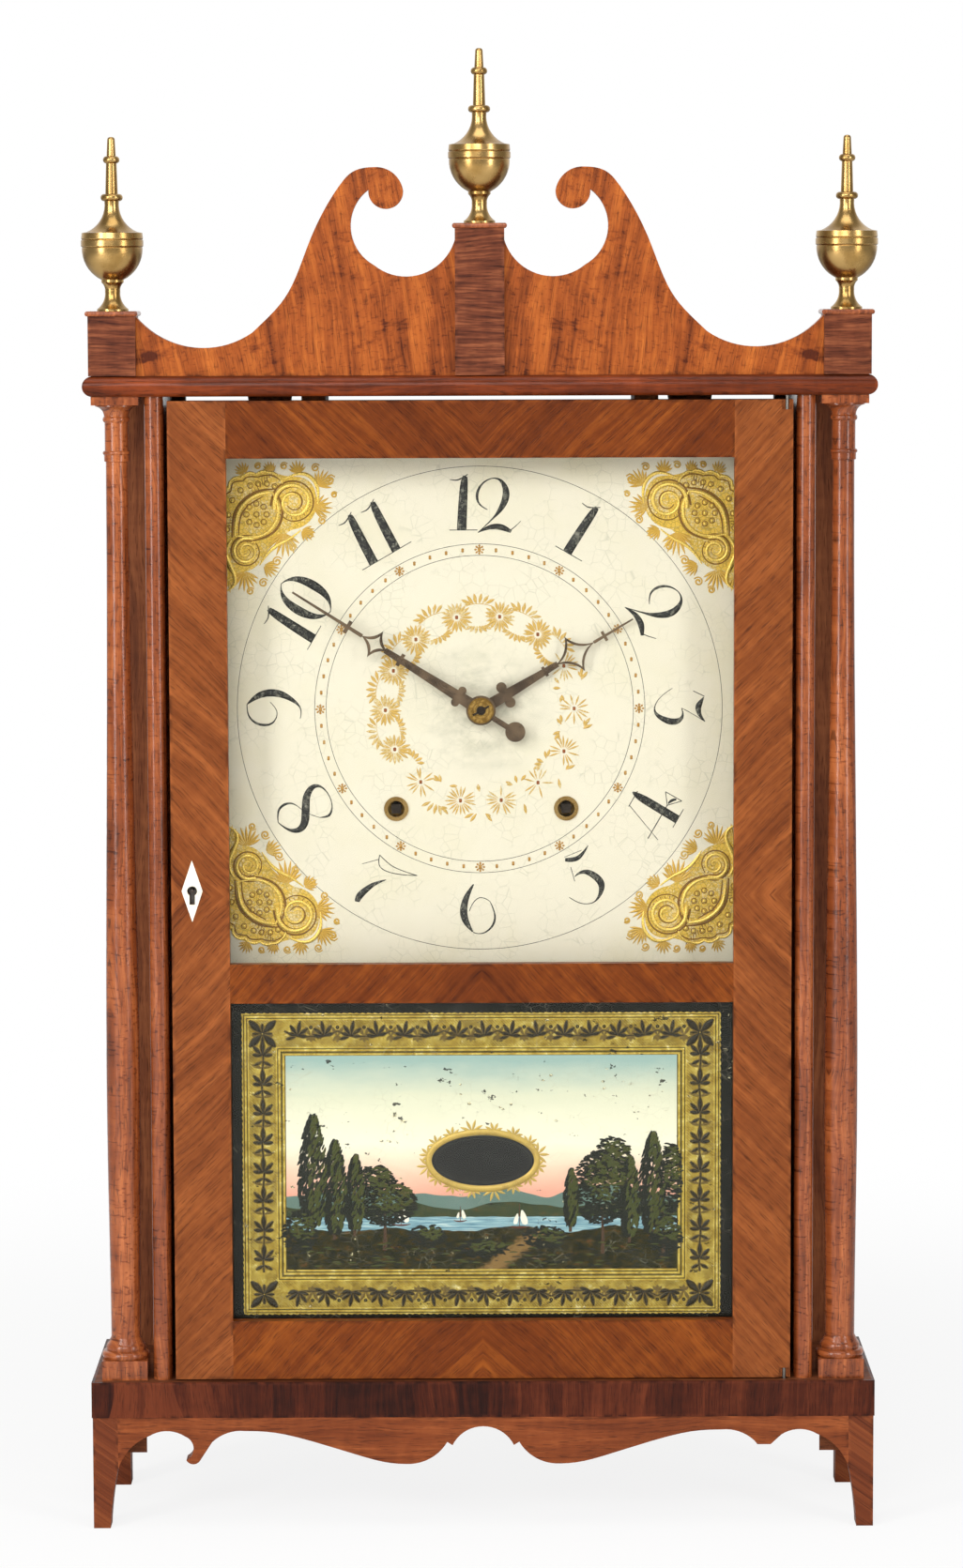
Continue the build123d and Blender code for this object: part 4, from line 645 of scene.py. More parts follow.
def brush(strokes: list[Stroke], y: float, thickness: float, closed: bool = False, sides: int = 1,
          smoothness: int = 5) -> bpy.types.Object:
    """Paints or models strokes that swell and taper on an upright plane.

    Args:
        strokes: each stroke's points, as X, Z and half width in millimetres.
        y: the plane's depth in millimetres.
        thickness: how far a stroke stands out for each millimetre of its half width.
        closed: whether the strokes are rings.
        sides: how round the strokes are.
        smoothness: steps between points.

    Returns:
        The mesh object.
    """
    obj = flat_curve("stroke")
    curve = obj.data
    curve.dimensions = "3D"
    curve.bevel_depth = MM
    curve.bevel_resolution = sides
    curve.use_fill_caps = not closed
    for stroke in strokes:
        spline = curve.splines.new("NURBS")
        spline.points.add(len(stroke) - 1)
        for point, (px, pz, half) in zip(spline.points, stroke):
            point.co = (px * MM, 0.0, pz * MM, 1.0)
            point.radius = half
        spline.order_u = 3 if len(stroke) > 2 else 2
        spline.use_endpoint_u = not closed
        spline.use_cyclic_u = closed
        spline.resolution_u = smoothness
    bpy.ops.object.convert(target="MESH")
    obj = bpy.context.object
    obj.data.transform(Matrix.Translation((0.0, y * MM, 0.0)) @ Matrix.Diagonal((1.0, thickness, 1.0, 1.0)))
    return obj


def cut_sheet(outlines: list[Outline], y: float, thickness: float = 0.01) -> bpy.types.Object:
    """Cuts thin flat shapes on an upright plane.

    Args:
        outlines: each shape's corners, as X and Z in millimetres.
        y: the plane's depth in millimetres.
        thickness: half the sheet's thickness in millimetres.

    Returns:
        The mesh object.
    """
    obj = flat_curve("sheet")
    curve = obj.data
    curve.dimensions = "2D"
    curve.fill_mode = "BOTH"
    curve.extrude = thickness * MM
    for outline in outlines:
        spline = curve.splines.new("NURBS")
        spline.points.add(len(outline) - 1)
        for point, (px, pz) in zip(spline.points, outline):
            point.co = (px * MM, pz * MM, 0.0, 1.0)
        spline.order_u = 3
        spline.use_cyclic_u = True
        spline.resolution_u = 3
    bpy.ops.object.convert(target="MESH")
    obj = bpy.context.object
    obj.data.transform(Matrix.Translation((0.0, y * MM, 0.0)) @ Matrix.Rotation(math.radians(90), 4, "X"))
    return obj


def ring_line(x: float, z: float, radius: float, half: float, tall: float = 1.0) -> Stroke:
    """Points of a ring drawn with one line, stretched in height by a share."""
    count = 32
    swell = 1 / math.cos(math.pi / count)
    return [(x + radius * swell * math.cos(i * math.tau / count),
             z + radius * swell * tall * math.sin(i * math.tau / count), half) for i in range(count)]


def curl(x: float, z: float, start: float, end: float, turn: float, phase: float, wide: float,
         thin: float) -> Stroke:
    """Points of a spiral.

    Args:
        x, z: its centre.
        start, end: its first and last radius.
        turn: how many turns it makes, negative for clockwise.
        phase: the angle of its start, in degrees.
        wide, thin: half widths at its start and its end.

    Returns:
        The stroke.
    """
    steps = max(6, int(abs(turn) * 12))
    points = []
    for i in range(steps + 1):
        share = i / steps
        angle = math.radians(phase) + share * turn * math.tau
        radius = start + (end - start) * share
        points.append((x + radius * math.cos(angle), z + radius * math.sin(angle),
                       wide + (thin - wide) * share))
    return points


def petal(x: float, z: float, angle: float, length: float, half: float, inner: float = 0.0) -> Stroke:
    """Points of one leaf or petal from a place outwards, the angle in degrees from +X."""
    dx, dz = math.cos(math.radians(angle)), math.sin(math.radians(angle))
    shares = ((0.0, 0.15), (0.35, 0.85), (0.7, 1.0), (1.0, 0.12))
    return [(x + dx * (inner + length * s), z + dz * (inner + length * s), max(0.06, half * w)) for s,
            w in shares]


class Woodwork:
    """The case and the door: every wooden node gets its own board."""

    def finishes(self) -> dict[str, Wood]:
        """Which wood each node is made of.

        Returns:
            A wood by node name.
        """
        door = Wood("feather_veneer", tint(156, 88, 42), tint(123, 65, 28), tint(86, 39, 14), Grain.FEATHER,
                    band=21.0, figure=0.7)
        rail = Wood("feather_rail_veneer", tint(140, 73, 21), tint(103, 47, 12), tint(67, 26, 5),
                    Grain.FEATHER,
                    band=21.0, figure=0.7)
        solid = Wood("solid_mahogany", tint(184, 106, 58), tint(132, 66, 32), tint(70, 29, 13), band=9.0,
                     figure=0.6, fleck=0.3, roughness=0.24, polish=0.6, pores=0.6)
        crest = Wood("crest_veneer", tint(182, 100, 40), tint(142, 70, 27), tint(76, 31, 13), Grain.CREST,
                     band=9.0, figure=0.85, fleck=0.2, patches=0.2, blotches=0.5)
        stripe = Wood("plinth_veneer", tint(140, 80, 50), tint(98, 50, 31), tint(48, 20, 14), Grain.LEVEL,
                      band=3.2, figure=0.8, fibre=0.95)
        base = Wood("cross_band_veneer", tint(100, 46, 24), tint(68, 27, 13), tint(36, 13, 8), Grain.BANDED,
                    band=12.0, figure=0.7, patches=1.0)
        apron = Wood("apron_mahogany", tint(154, 84, 44), tint(120, 60, 30), tint(82, 37, 20), Grain.LEVEL,
                     band=10.0, figure=0.5, fibre=0.6)
        skirt = Wood("skirt_mahogany", tint(140, 76, 40), tint(106, 52, 28), tint(72, 32, 18), Grain.DEEP,
                     band=10.0, figure=0.5)
        cornice = Wood("cornice_mahogany", tint(140, 62, 24), tint(96, 39, 13), tint(54, 19, 7), Grain.LEVEL,
                       band=6.0, figure=0.6, roughness=0.3, polish=0.14)
        pine = Wood("stained_pine", tint(140, 84, 50), tint(104, 58, 34), tint(66, 34, 22), band=18.0,
                    figure=0.8,
                    roughness=0.6, polish=0.05, wear=0.3)
        level_pine = replace(pine, name="level_pine", grain=Grain.LEVEL)
        groups = (
            (door, "door_stile_left", "door_stile_right"),
            (rail, "door_rail_top", "door_rail_middle", "door_rail_bottom"),
            (solid, "columns", "side_boards", "column_blocks", "glass_beads", "plinth_caps"),
            (stripe, "centre_plinth", "side_plinths"),
            (skirt, "side_skirt_left", "side_skirt_right"),
            (pine, "back_board", "movement_uprights", "pulley_blocks", "time_pulley", "strike_pulley"),
            (level_pine, "base_board", "glue_blocks"),
            (crest, "scroll_board"), (base, "base_facing"), (apron, "front_apron"), (cornice, "cornice"))
        return {name: wood for wood, *names in groups for name in names}

    def dress(self) -> None:
        """Gives every wooden node its finish."""
        for node, wood in self.finishes().items():
            put(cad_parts[node], wood.material(node))
            log.info("%s: %s", node, wood.name)


@dataclass
class Fittings:
    """Metal, glass, bone, cord and paint nodes."""

    shared: dict = field(default_factory=lambda: {
        BRASS: ("finials", "winding_grommets"),
        WORKS_BRASS: ("front_plate", "back_plate", "bell", "hour_wheel", "motion_wheel", "time_great_wheel",
                      "second_wheel", "third_wheel", "escape_wheel", "strike_great_wheel", "pin_wheel",
                      "fly"),
        ArborMetal("collet_and_arbor", collet=7.0): ("minute_arbor",),
        ArborMetal("drum_and_square"): ("time_drum", "strike_drum"),
        STEEL: ("suspension_stud", "hinge_pins", "lock_case", "lock_bolt", "verge", "pendulum", "hammer"),
        IRON: ("minute_hand", "hour_hand"),
        CAST_IRON: ("time_weight", "strike_weight"),
        CordTwist(): ("cord_leads", "time_cord", "strike_cord")})

    def dress(self) -> None:
        """Gives every node of these its finish."""
        for finish, nodes in self.shared.items():
            material = finish.material()
            for node in nodes:
                put(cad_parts[node], material)
                log.info("%s: %s", node, finish.name)
        singles = {"dial_glass": Glass("dial_glass_clear"), "tablet_glass": Glass("tablet_glass_clear"),
                   "escutcheon": Bone(), "dial_board": Paint()}
        for node, finish in singles.items():
            put(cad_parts[node], finish.material())
            log.info("%s: %s", node, finish.name)


ONE: list[Stroke] = [
    [(0.8, 14.4, 1.2), (0.3, 13.0, 2.2), (-0.6, 0.0, 2.75), (-1.2, -13.6, 2.9), (-1.2, -14.6, 2.9)],
    [(-7.5, 12.6, 0.15), (-5.0, 12.0, 0.3), (-2.0, 12.6, 0.4), (2.2, 15.4, 0.2)]]
NOUGHT: list[Stroke] = [
    [(0.5, 15.3, 0.15), (-2.5, 14.6, 0.2), (-7.0, 9.0, 1.9), (-8.2, 0.0, 2.9), (-7.0, -9.0, 1.9),
     (-2.5, -14.6, 0.2),
     (0.5, -15.3, 0.15)],
    [(-0.5, 15.3, 0.15), (2.5, 14.6, 0.2), (7.0, 9.0, 1.9), (8.2, 0.0, 2.9), (7.0, -9.0, 1.9),
     (2.5, -14.6, 0.2),
     (-0.5, -15.3, 0.15)]]
TWO: list[Stroke] = [
    [(-3.0, -3.7, 0.2), (-7.5, -1.5, 0.4), (-9.0, 3.5, 0.8), (-7.5, 8.5, 0.7), (-4.0, 12.0, 0.35),
     (0.5, 13.6, 0.2),
     (4.5, 12.2, 0.8), (7.0, 7.5, 1.9), (7.0, 2.5, 2.2), (4.5, -3.0, 1.6), (0.0, -8.6, 0.25),
     (-8.2, -16.0, 0.15)],
    [(-8.2, -16.0, 0.15), (-4.0, -13.6, 1.0), (1.0, -12.6, 1.8), (6.0, -13.4, 1.9), (9.7, -15.6, 0.8)],
    [(9.0, -15.0, 0.3), (12.5, -12.5, 0.2), (14.9, -9.8, 0.12)]]
FOOT: Stroke = [(-8.5, -14.6, 0.2), (8.0, -14.6, 0.2)]
FIGURES: dict[int, list[Stroke]] = {
    1: ONE + [FOOT],
    2: TWO,
    3: [[(-9.3, 4.1, 0.2), (-6.4, 10.1, 0.2)],
        [(-6.0, 9.8, 0.2), (-3.0, 7.8, 1.6), (0.0, 6.5, 1.9), (4.5, 7.8, 0.9), (7.3, 10.5, 0.15)],
        [(7.3, 10.5, 0.15), (1.0, 0.4, 0.15), (0.0, -2.2, 0.15)],
        [(0.0, -2.2, 0.15), (4.5, -0.4, 0.5), (8.3, -6.3, 2.3), (4.5, -15.3, 1.2), (0.0, -17.5, 0.2),
         (-6.7, -13.8, 0.15), (-10.9, -7.1, 0.12)]],
    4: [[(-1.0, 11.6, 2.6), (-1.3, 0.0, 2.6), (-1.5, -14.0, 2.4), (-1.9, -17.0, 0.4)],
        [(-7.5, 11.6, 0.2), (4.0, 11.6, 0.2)], [(-5.2, 2.9, 0.25), (16.0, 2.9, 0.25)],
        [(13.9, 8.1, 0.15), (5.2, -14.9, 0.15)], [(-3.7, -14.9, 0.2), (6.0, -14.9, 0.2)],
        [(-10.9, 8.6, 0.2), (-5.0, 2.9, 0.2)], [(-10.9, -1.6, 0.2), (-5.0, 2.9, 0.2)],
        [(-10.9, 8.6, 0.2), (-10.9, -1.6, 0.2)], [(-10.2, 5.6, 0.5), (-8.6, 3.2, 1.2), (-6.0, 2.9, 0.3)]],
    5: [[(9.7, 1.9, 0.15), (7.5, 6.5, 0.2), (3.0, 10.3, 0.2), (-1.5, 11.2, 0.25), (-6.5, 8.6, 1.2),
         (-10.0, 3.5, 2.3),
         (-6.7, -4.9, 1.8), (-1.5, -7.4, 0.6), (1.5, -6.3, 0.15)],
        [(2.7, -4.1, 0.15), (0.7, -12.0, 0.15)],
        [(-13.4, -17.5, 0.15), (-8.0, -14.5, 1.0), (-2.5, -14.3, 1.6), (1.3, -17.0, 1.0)],
        [(-9.0, -17.0, 0.12), (1.0, -18.4, 0.12)]],
    6: [[(-5.2, -6.3, 0.15), (-8.2, -0.4, 0.4), (-7.5, 6.3, 0.7), (-3.0, 10.8, 0.35), (1.5, 11.6, 0.2),
         (4.0, 10.5, 0.2)],
        [(4.2, 10.2, 0.4), (7.8, 5.6, 1.9), (9.3, 0.0, 2.3), (8.6, -6.0, 2.0), (6.3, -11.5, 1.3),
         (3.7, -15.7, 0.3)],
        [(-5.2, -6.3, 0.15), (-1.0, -9.6, 0.2), (4.4, -6.0, 0.2), (6.0, -1.0, 0.15)]],
    7: [[(5.5, 13.0, 1.4), (6.3, 10.5, 2.2), (4.9, 5.5, 1.9), (2.0, -1.0, 1.0), (-2.2, -5.2, 0.2)],
        [(-15.7, -15.6, 0.2), (-8.2, -11.6, 0.2), (0.7, -8.9, 0.2), (6.0, -10.1, 0.2), (7.5, -15.3, 0.2)],
        [(-15.7, -15.6, 0.2), (-5.0, -13.2, 0.2), (2.0, -13.6, 0.2), (7.5, -15.3, 0.2)],
        [(6.7, -13.0, 0.15), (13.4, -6.3, 0.1)]],
    8: [[(1.5, 14.2, 0.2), (-4.5, 12.3, 0.5), (-8.2, 7.0, 1.7), (-6.5, 1.9, 2.4), (0.0, -2.2, 2.5),
         (6.5, -6.3, 2.2),
         (9.3, -12.0, 1.5), (7.0, -16.0, 0.5), (1.5, -17.3, 0.2), (-4.5, -16.4, 0.2), (-8.3, -13.5, 0.6),
         (-9.5, -10.5, 0.7), (-7.5, -6.6, 0.15)],
        [(1.5, 14.2, 0.2), (6.5, 12.0, 0.5), (8.5, 7.5, 0.8), (7.5, 3.0, 0.5), (4.0, 0.5, 0.15),
         (-2.0, -1.4, 0.15),
         (-7.5, -6.6, 0.15)]],
    9: [[(3.0, 14.5, 0.2), (-2.0, 14.6, 0.3), (-6.5, 11.5, 0.6), (-8.7, 6.5, 0.8), (-8.0, 1.0, 0.5),
         (-4.0, -1.8, 0.2),
         (0.5, -1.6, 0.15), (4.0, 2.0, 0.15)],
        [(3.0, 14.3, 0.3), (7.0, 10.0, 1.6), (9.2, 3.5, 2.3), (8.8, -3.0, 2.2), (6.0, -9.0, 1.4),
         (2.0, -14.0, 0.4),
         (-2.0, -15.0, 0.2), (-5.0, -14.2, 0.15)]]}


def shifted(strokes: list[Stroke], dx: float) -> list[Stroke]:
    """Strokes moved sideways."""
    return [[(x + dx, z, half) for x, z, half in stroke] for stroke in strokes]


FIGURES[10] = shifted(ONE, -10.5) + shifted(NOUGHT, 5.5) + [[(-18.5, -14.6, 0.2), (-3.5, -14.6, 0.2)]]
FIGURES[11] = shifted(ONE, -8.5) + shifted(ONE, 5.5) + [[(-17.0, -14.6, 0.2), (13.5, -14.6, 0.2)]]
FIGURES[12] = shifted(ONE, -8.2) + shifted(TWO, 7.5) + [[(-16.0, -14.6, 0.2), (-1.0, -14.6, 0.2)]]


@dataclass
class DialArt:
    """Numerals, rings, flower wreath and gilt corners on the dial board."""

    front: float = -19.95
    centre: tuple[float, float] = (-0.6, 443.2)
    figure_radius: float = 111.25
    outer_ring: float = 131.0
    minute_rings: tuple[float, float] = (89.2, 83.0)
    flowers: tuple[float, ...] = (12.3, 38, 63, 90, 117, 142, 167, 192, 219, 244.6, 269.3, 294, 317.6, 346)
    flower_ring: float = 51.0
    flower_petals: int = 20
    leaf_rings: tuple[float, float] = (57.0, 45.0)
    corner_start: tuple[float, float] = (-140.4, 580.05)
    corner_scale: float = 0.0499
    mirror_lines: tuple[float, float] = (0.2, 443.4)
    shell: tuple[tuple[float, float], ...] = (
        (20, 470), (60, 380), (110, 350), (130, 260), (240, 240), (280, 200), (400, 200), (540, 180),
        (640, 230),
        (680, 300))

    def paint(self, made: bpy.types.Object, name: str, finish: Leaf | Pigment) -> None:
        """Settles one piece of the decoration on the dial."""
        settle(made, name, "case", finish.material())

    def around(self, hour_angle: float, radius: float, dx: float = 0.0, dy: float = 0.0) -> tuple[float,
                                                                                                  float]:
        """Place on the dial.

        Args:
            hour_angle: clockwise from the top, in degrees.
            radius: from the dial's centre.
            dx, dy: further steps clockwise and outwards.

        Returns:
            X and Z in millimetres.
        """
        a = math.radians(hour_angle)
        reach = radius + dy
        return (self.centre[0] + math.sin(a) * reach + math.cos(a) * dx,
                self.centre[1] + math.cos(a) * reach - math.sin(a) * dx)

    def numerals(self) -> None:
        """Paints the twelve numbers."""
        strokes = []
        for hour, figure in FIGURES.items():
            for stroke in figure:
                strokes.append([self.around(hour * 30, self.figure_radius, dx, dy) + (half + 0.06,)
                                for dx, dy, half in stroke])
        made = brush(strokes, self.front - 0.03, 0.012)
        self.paint(made, "dial_numerals", BLACK_PAINT)

    def rings(self) -> None:
        """Draws the thin rings and the minute dots."""
        lines = [ring_line(*self.centre, radius, 0.16) for radius in (self.outer_ring, *self.minute_rings)]
        made = brush(lines, self.front - 0.03, 0.06, closed=True)
        self.paint(made, "dial_rings", BLACK_PAINT)
        dots = []
        middle = sum(self.minute_rings) / 2
        for minute in range(60):
            x, z = self.around(minute * 6, middle)
            if minute % 5:
                dots.append([(x - 0.7, z, 1.0), (x, z, 1.6), (x + 0.7, z, 1.0)])
                continue
            dots.append([(x - 0.9, z, 1.2), (x, z, 2.0), (x + 0.9, z, 1.2)])
            dots += [petal(x, z, spoke * 45, 1.6, 0.7, 1.2) for spoke in range(8)]
        self.paint(brush(dots, self.front - 0.04, 0.03), "minute_dots", GOLD_BROWN)

    def wreath(self) -> None:
        """Paints the worn wreath of flowers and leaves."""
        rng = random.Random(11)
        petals, centres = [], []
        for place in self.flowers:
            x, z = self.around(place, self.flower_ring)
            faded = 60 < place < 235
            for i in range(self.flower_petals):
                if faded and rng.random() < 0.4:
                    continue
                angle = i * 360 / self.flower_petals + rng.uniform(-3, 3)
                petals.append(petal(x, z, angle, 9.5 * rng.uniform(0.6, 0.72), 0.6 if faded else 0.95, 2.0))
            centres.append([(x - 0.8, z, 0.9), (x, z, 1.5), (x + 0.8, z, 0.9)])
        outer, inner = self.leaf_rings
        for first, second in zip(self.flowers, self.flowers[1:] + (self.flowers[0] + 360,)):
            middle = (first + second) / 2
            worn = 60 < middle < 240
            for side in (1, -1):
                for i in range(6):
                    if worn and rng.random() < 0.5:
                        continue
                    x, z = self.around(middle + (i - 2.5) * 1.6, outer if side > 0 else inner)
                    facing = 90 - middle + (0 if side > 0 else 180)
                    petals.append(petal(x, z, facing - (i - 2.5) * 26 * side, 5.6 if side > 0 else 4.2, 1.05))
                    petals.append(petal(x, z, facing - (i - 2.5) * 34 * side + 13, 3.4, 0.7))
            if not worn:
                for radii in ((46.0, 43.0, 46.0), (55.5, 59.0, 55.5)):
                    petals.append([self.around(middle + step, radius) + (0.22,)
                                   for step, radius in zip((-9, 0, 9), radii)])
        self.paint(brush(petals, self.front - 0.04, 0.02), "wreath_flowers", GOLD_TAN)
        self.paint(brush(centres, self.front - 0.06, 0.03), "wreath_centres",
                   Pigment("red_brown_dot", tint(140, 76, 34), tint(190, 140, 80), 0.3))

    def corner(self, px: float, pz: float) -> tuple[float, float]:
        """Place on the top left gilt corner, from its drawing."""
        left, top = self.corner_start
        return left + px * self.corner_scale, top - pz * self.corner_scale

    def drawn(self, points: Stroke) -> Stroke:
        """A stroke of the gilt corner's drawing, in millimetres."""
        return [self.corner(px, pz) + (half,) for px, pz, half in points]

    def fan(self, px: float, pz: float, start: float, end: float, count: int, length: float,
            half: float) -> list[Stroke]:
        """Leaves spread in a fan from one place of the corner's drawing.

        Args:
            px, pz: the place.
            start, end: the first and last leaf's angle, in degrees from +X.
            count: how many leaves there are.
            length: the middle leaf's length in millimetres.
            half: its half width.

        Returns:
            The leaves.
        """
        leaves = []
        for i in range(count):
            share = i / (count - 1)
            reach = length * (0.72 + 0.28 * math.sin(math.pi * share))
            leaves.append(petal(*self.corner(px, pz), start + (end - start) * share, reach, half, 0.8))
        return leaves

    def scallops(self, bow: tuple[float, float], shift: tuple[float, float], ends: float,
                 middle: float) -> list[Stroke]:
        """Arcs between neighbouring points of the shell's edge.

        Args:
            bow: how far an arc bows, as shares of its rise and of its run.
            shift: how far the row is moved, in the drawing's units.
            ends, middle: half widths in millimetres.

        Returns:
            The arcs.
        """
        dx, dz = shift
        arcs = []
        for (ax, az), (bx, bz) in zip(self.shell, self.shell[1:]):
            mx, mz = (ax + bx) / 2 + (bz - az) * bow[0], (az + bz) / 2 - (bx - ax) * bow[1]
            arcs.append(self.drawn([(ax + dx, az + dz, ends), (mx + dx, mz + dz, middle),
                                    (bx + dx, bz + dz, ends)]))
        return arcs

    def eyes(self) -> tuple[tuple[float, float], tuple[float, float]]:
        """Middles of the top left corner's two great scrolls."""
        return self.corner(800, 500), self.corner(285, 1030)

    def dots(self) -> list[tuple[float, float]]:
        """Middles of the top left corner's raised dots."""
        places = [(230, 370), (335, 320), (515, 300), (140, 475), (95, 635), (80, 790), (420, 300),
                  (600, 330)]
        turns = [i * math.tau / 8 for i in range(8)]
        places += [(400 + 110 * math.cos(a), 630 + 115 * math.sin(a)) for a in turns] + [(400, 630)]
        return [self.corner(*place) for place in places]

    def relief(self) -> list[Stroke]:
        """Raised scrolls, shell edge, leaves and dots of the top left corner."""
        first, second = self.eyes()
        raised = [curl(*first, 11.0, 2.0, -1.9, 200, 1.2, 0.5), curl(*second, 7.8, 1.2, 1.9, 60, 1.1, 0.45)]
        raised += self.scallops((0.28, 0.34), (0, 0), 0.45, 0.9)
        raised += [self.drawn(points) for points in (
            [(165, 860, 0.4), (170, 700, 0.8), (220, 560, 1.1), (330, 460, 1.2), (450, 400, 1.1),
             (570, 390, 0.5)],
            [(570, 390, 0.5), (650, 520, 0.9), (620, 730, 1.0), (480, 860, 0.8), (330, 880, 0.5),
             (165, 860, 0.4)],
            [(130, 900, 0.4), (50, 1020, 1.0), (100, 1150, 1.3), (180, 1330, 1.0), (130, 1440, 0.6),
             (30, 1470, 0.3)],
            [(700, 250, 0.3), (860, 170, 0.9), (1010, 230, 1.1), (1080, 380, 0.9), (1060, 520, 0.4)],
            [(430, 1180, 0.3), (500, 1060, 0.9), (620, 960, 1.0), (760, 900, 0.7), (880, 800, 0.3)])]
        return raised + [[(x - 0.6, z, 0.8), (x, z, 1.35), (x + 0.6, z, 0.8)] for x, z in self.dots()]

    def leafage(self) -> list[Stroke]:
        """Fans of fine leaves and small scrolls around the top left corner."""
        fine = []
        for fan in ((700, 830, 205, 325, 9, 12.5, 0.95), (1010, 560, -50, 65, 8, 10.0, 0.85),
                    (1060, 330, -5, 100, 8, 9.5, 0.8), (850, 200, 45, 150, 7, 7.0, 0.75),
                    (560, 190, 60, 150, 7, 6.0, 0.7), (280, 200, 70, 170, 7, 6.5, 0.7),
                    (270, 1240, 205, 330, 9, 10.5, 0.9), (470, 1180, -70, 20, 7, 8.5, 0.8),
                    (880, 800, -75, 20, 7, 7.5, 0.75), (90, 1330, 190, 300, 6, 7.5, 0.7)):
            fine += self.fan(*fan)
        for px, pz, radius in (
                (1120, 560, 2.6), (1110, 700, 2.4), (980, 850, 2.4), (620, 1140, 2.8), (470, 1370, 2.6),
                (1200, 260, 2.8), (1040, 130, 2.4), (700, 110, 2.2), (420, 110, 2.0), (330, 1460, 2.2),
                (790, 990, 2.2), (1240, 420, 1.8)):
            fine.append(curl(*self.corner(px, pz), radius, 0.5, 1.5, 30, 0.4, 0.65))
        return fine

    def painted_shade_strokes(self) -> list[Stroke]:
        """Painted shade: brown lines in the hollows along the top left corner's relief."""
        first, second = self.eyes()
        lines = []
        for i in range(26):
            share = i / 25
            lean = math.radians(205 - share * 130)
            px, pz = 60 + share * 520 + 25 * math.cos(lean), 850 - share * 640 - 25 * math.sin(lean)
            lines.append(self.drawn([(px, pz, 0.3), (px + 62 * math.cos(lean), pz - 62 * math.sin(lean),
                                                     0.16)]))
        lines += [curl(*first, radius, radius - 2.4, -0.95, 190, 0.62, 0.3) for radius in (12.5, 9.4, 6.2)]
        lines += [curl(*second, radius, radius - 2.0, 0.95, 60, 0.6, 0.3) for radius in (9.1, 6.4, 3.8)]
        lines += self.scallops((0.1, 0.12), (18, 30), 0.35, 0.5)
        for i in range(22):
            turn = i * math.tau / 22
            for (x, z), reach in ((first, (7.9, 9.4)), (second, (5.0, 6.4)))[:1 + i % 2]:
                lines.append([(x + r * math.cos(turn), z + r * math.sin(turn), 0.24) for r in reach])
        return lines + [self.drawn(points) for points in (
            [(136, 880, 0.5), (138, 690, 0.75), (195, 535, 0.8), (315, 425, 0.8), (450, 362, 0.7),
             (600, 358, 0.4)],
            [(610, 395, 0.5), (695, 520, 0.75), (660, 755, 0.8), (490, 900, 0.7), (310, 918, 0.4)],
            [(205, 860, 0.3), (210, 710, 0.5), (255, 590, 0.55), (350, 500, 0.5), (470, 440, 0.3)],
            [(150, 1290, 0.3), (60, 1160, 0.6), (25, 1030, 0.5), (100, 930, 0.3)])]

    def gilt_ground(self) -> Outline:
        """Outline of the gilt under the top left corner."""
        return [self.corner(*place) for place in (
            (20, 480), (50, 360), (120, 290), (160, 225), (280, 190), (420, 180), (560, 160), (660, 205),
            (760, 225),
            (900, 225), (1010, 300), (1050, 430), (1055, 560), (1000, 690), (880, 780), (760, 800),
            (690, 870),
            (580, 950), (500, 1040), (440, 1150), (350, 1230), (230, 1260), (190, 1340), (120, 1430),
            (60, 1400),
            (90, 1280), (60, 1150), (30, 1050), (80, 940), (30, 860))]

    def corners(self) -> None:
        """Models the four gilt corners, mirrored from one."""
        raised, fine, lines, ground = self.relief(), self.leafage(), self.painted_shade_strokes(), [self.gilt_ground()]
        # Painted shade: a brown ring round the foot of each raised dot.
        rings = [ring_line(x, z, 1.45, 0.26) for x, z in self.dots()]
        mid_x, mid_z = self.mirror_lines
        for side, level, name in ((1, 1, "top_left"), (-1, 1, "top_right"), (1, -1, "low_left"),
                                  (-1, -1, "low_right")):
            turn = Matrix.Diagonal((side, 1.0, level, 1.0))
            shift = Matrix.Translation((mid_x * MM * (1 - side), 0.0, mid_z * MM * (1 - level)))
            for kind, made, finish in (
                    ("ground", cut_sheet(ground, self.front - 0.02), GILT_WASH),
                    ("leaves", brush(fine, self.front - 0.05, 0.12), GILT_LEAF),
                    ("relief", brush(raised, self.front - 0.1, 0.95, sides=3), GILT),
                    # The brown rings and lines below are painted shade in the hollows of the relief.
                    ("dot_shade_rings", brush(rings, self.front - 0.06, 0.15, closed=True, smoothness=1),
                     PAINTED_SHADE_LINE),
                    ("lines", brush(lines, self.front - 0.06, 0.15), PAINTED_SHADE_LINE)):
                made.data.transform(shift @ turn)
                if side * level < 0:
                    made.data.flip_normals()
                if kind == "relief":
                    bpy.ops.object.shade_smooth()
                self.paint(made, f"gilt_{kind}_{name}", finish)

    def build(self) -> None:
        """Builds the dial's whole decoration."""
        self.numerals()
        self.rings()
        self.wreath()
        self.corners()


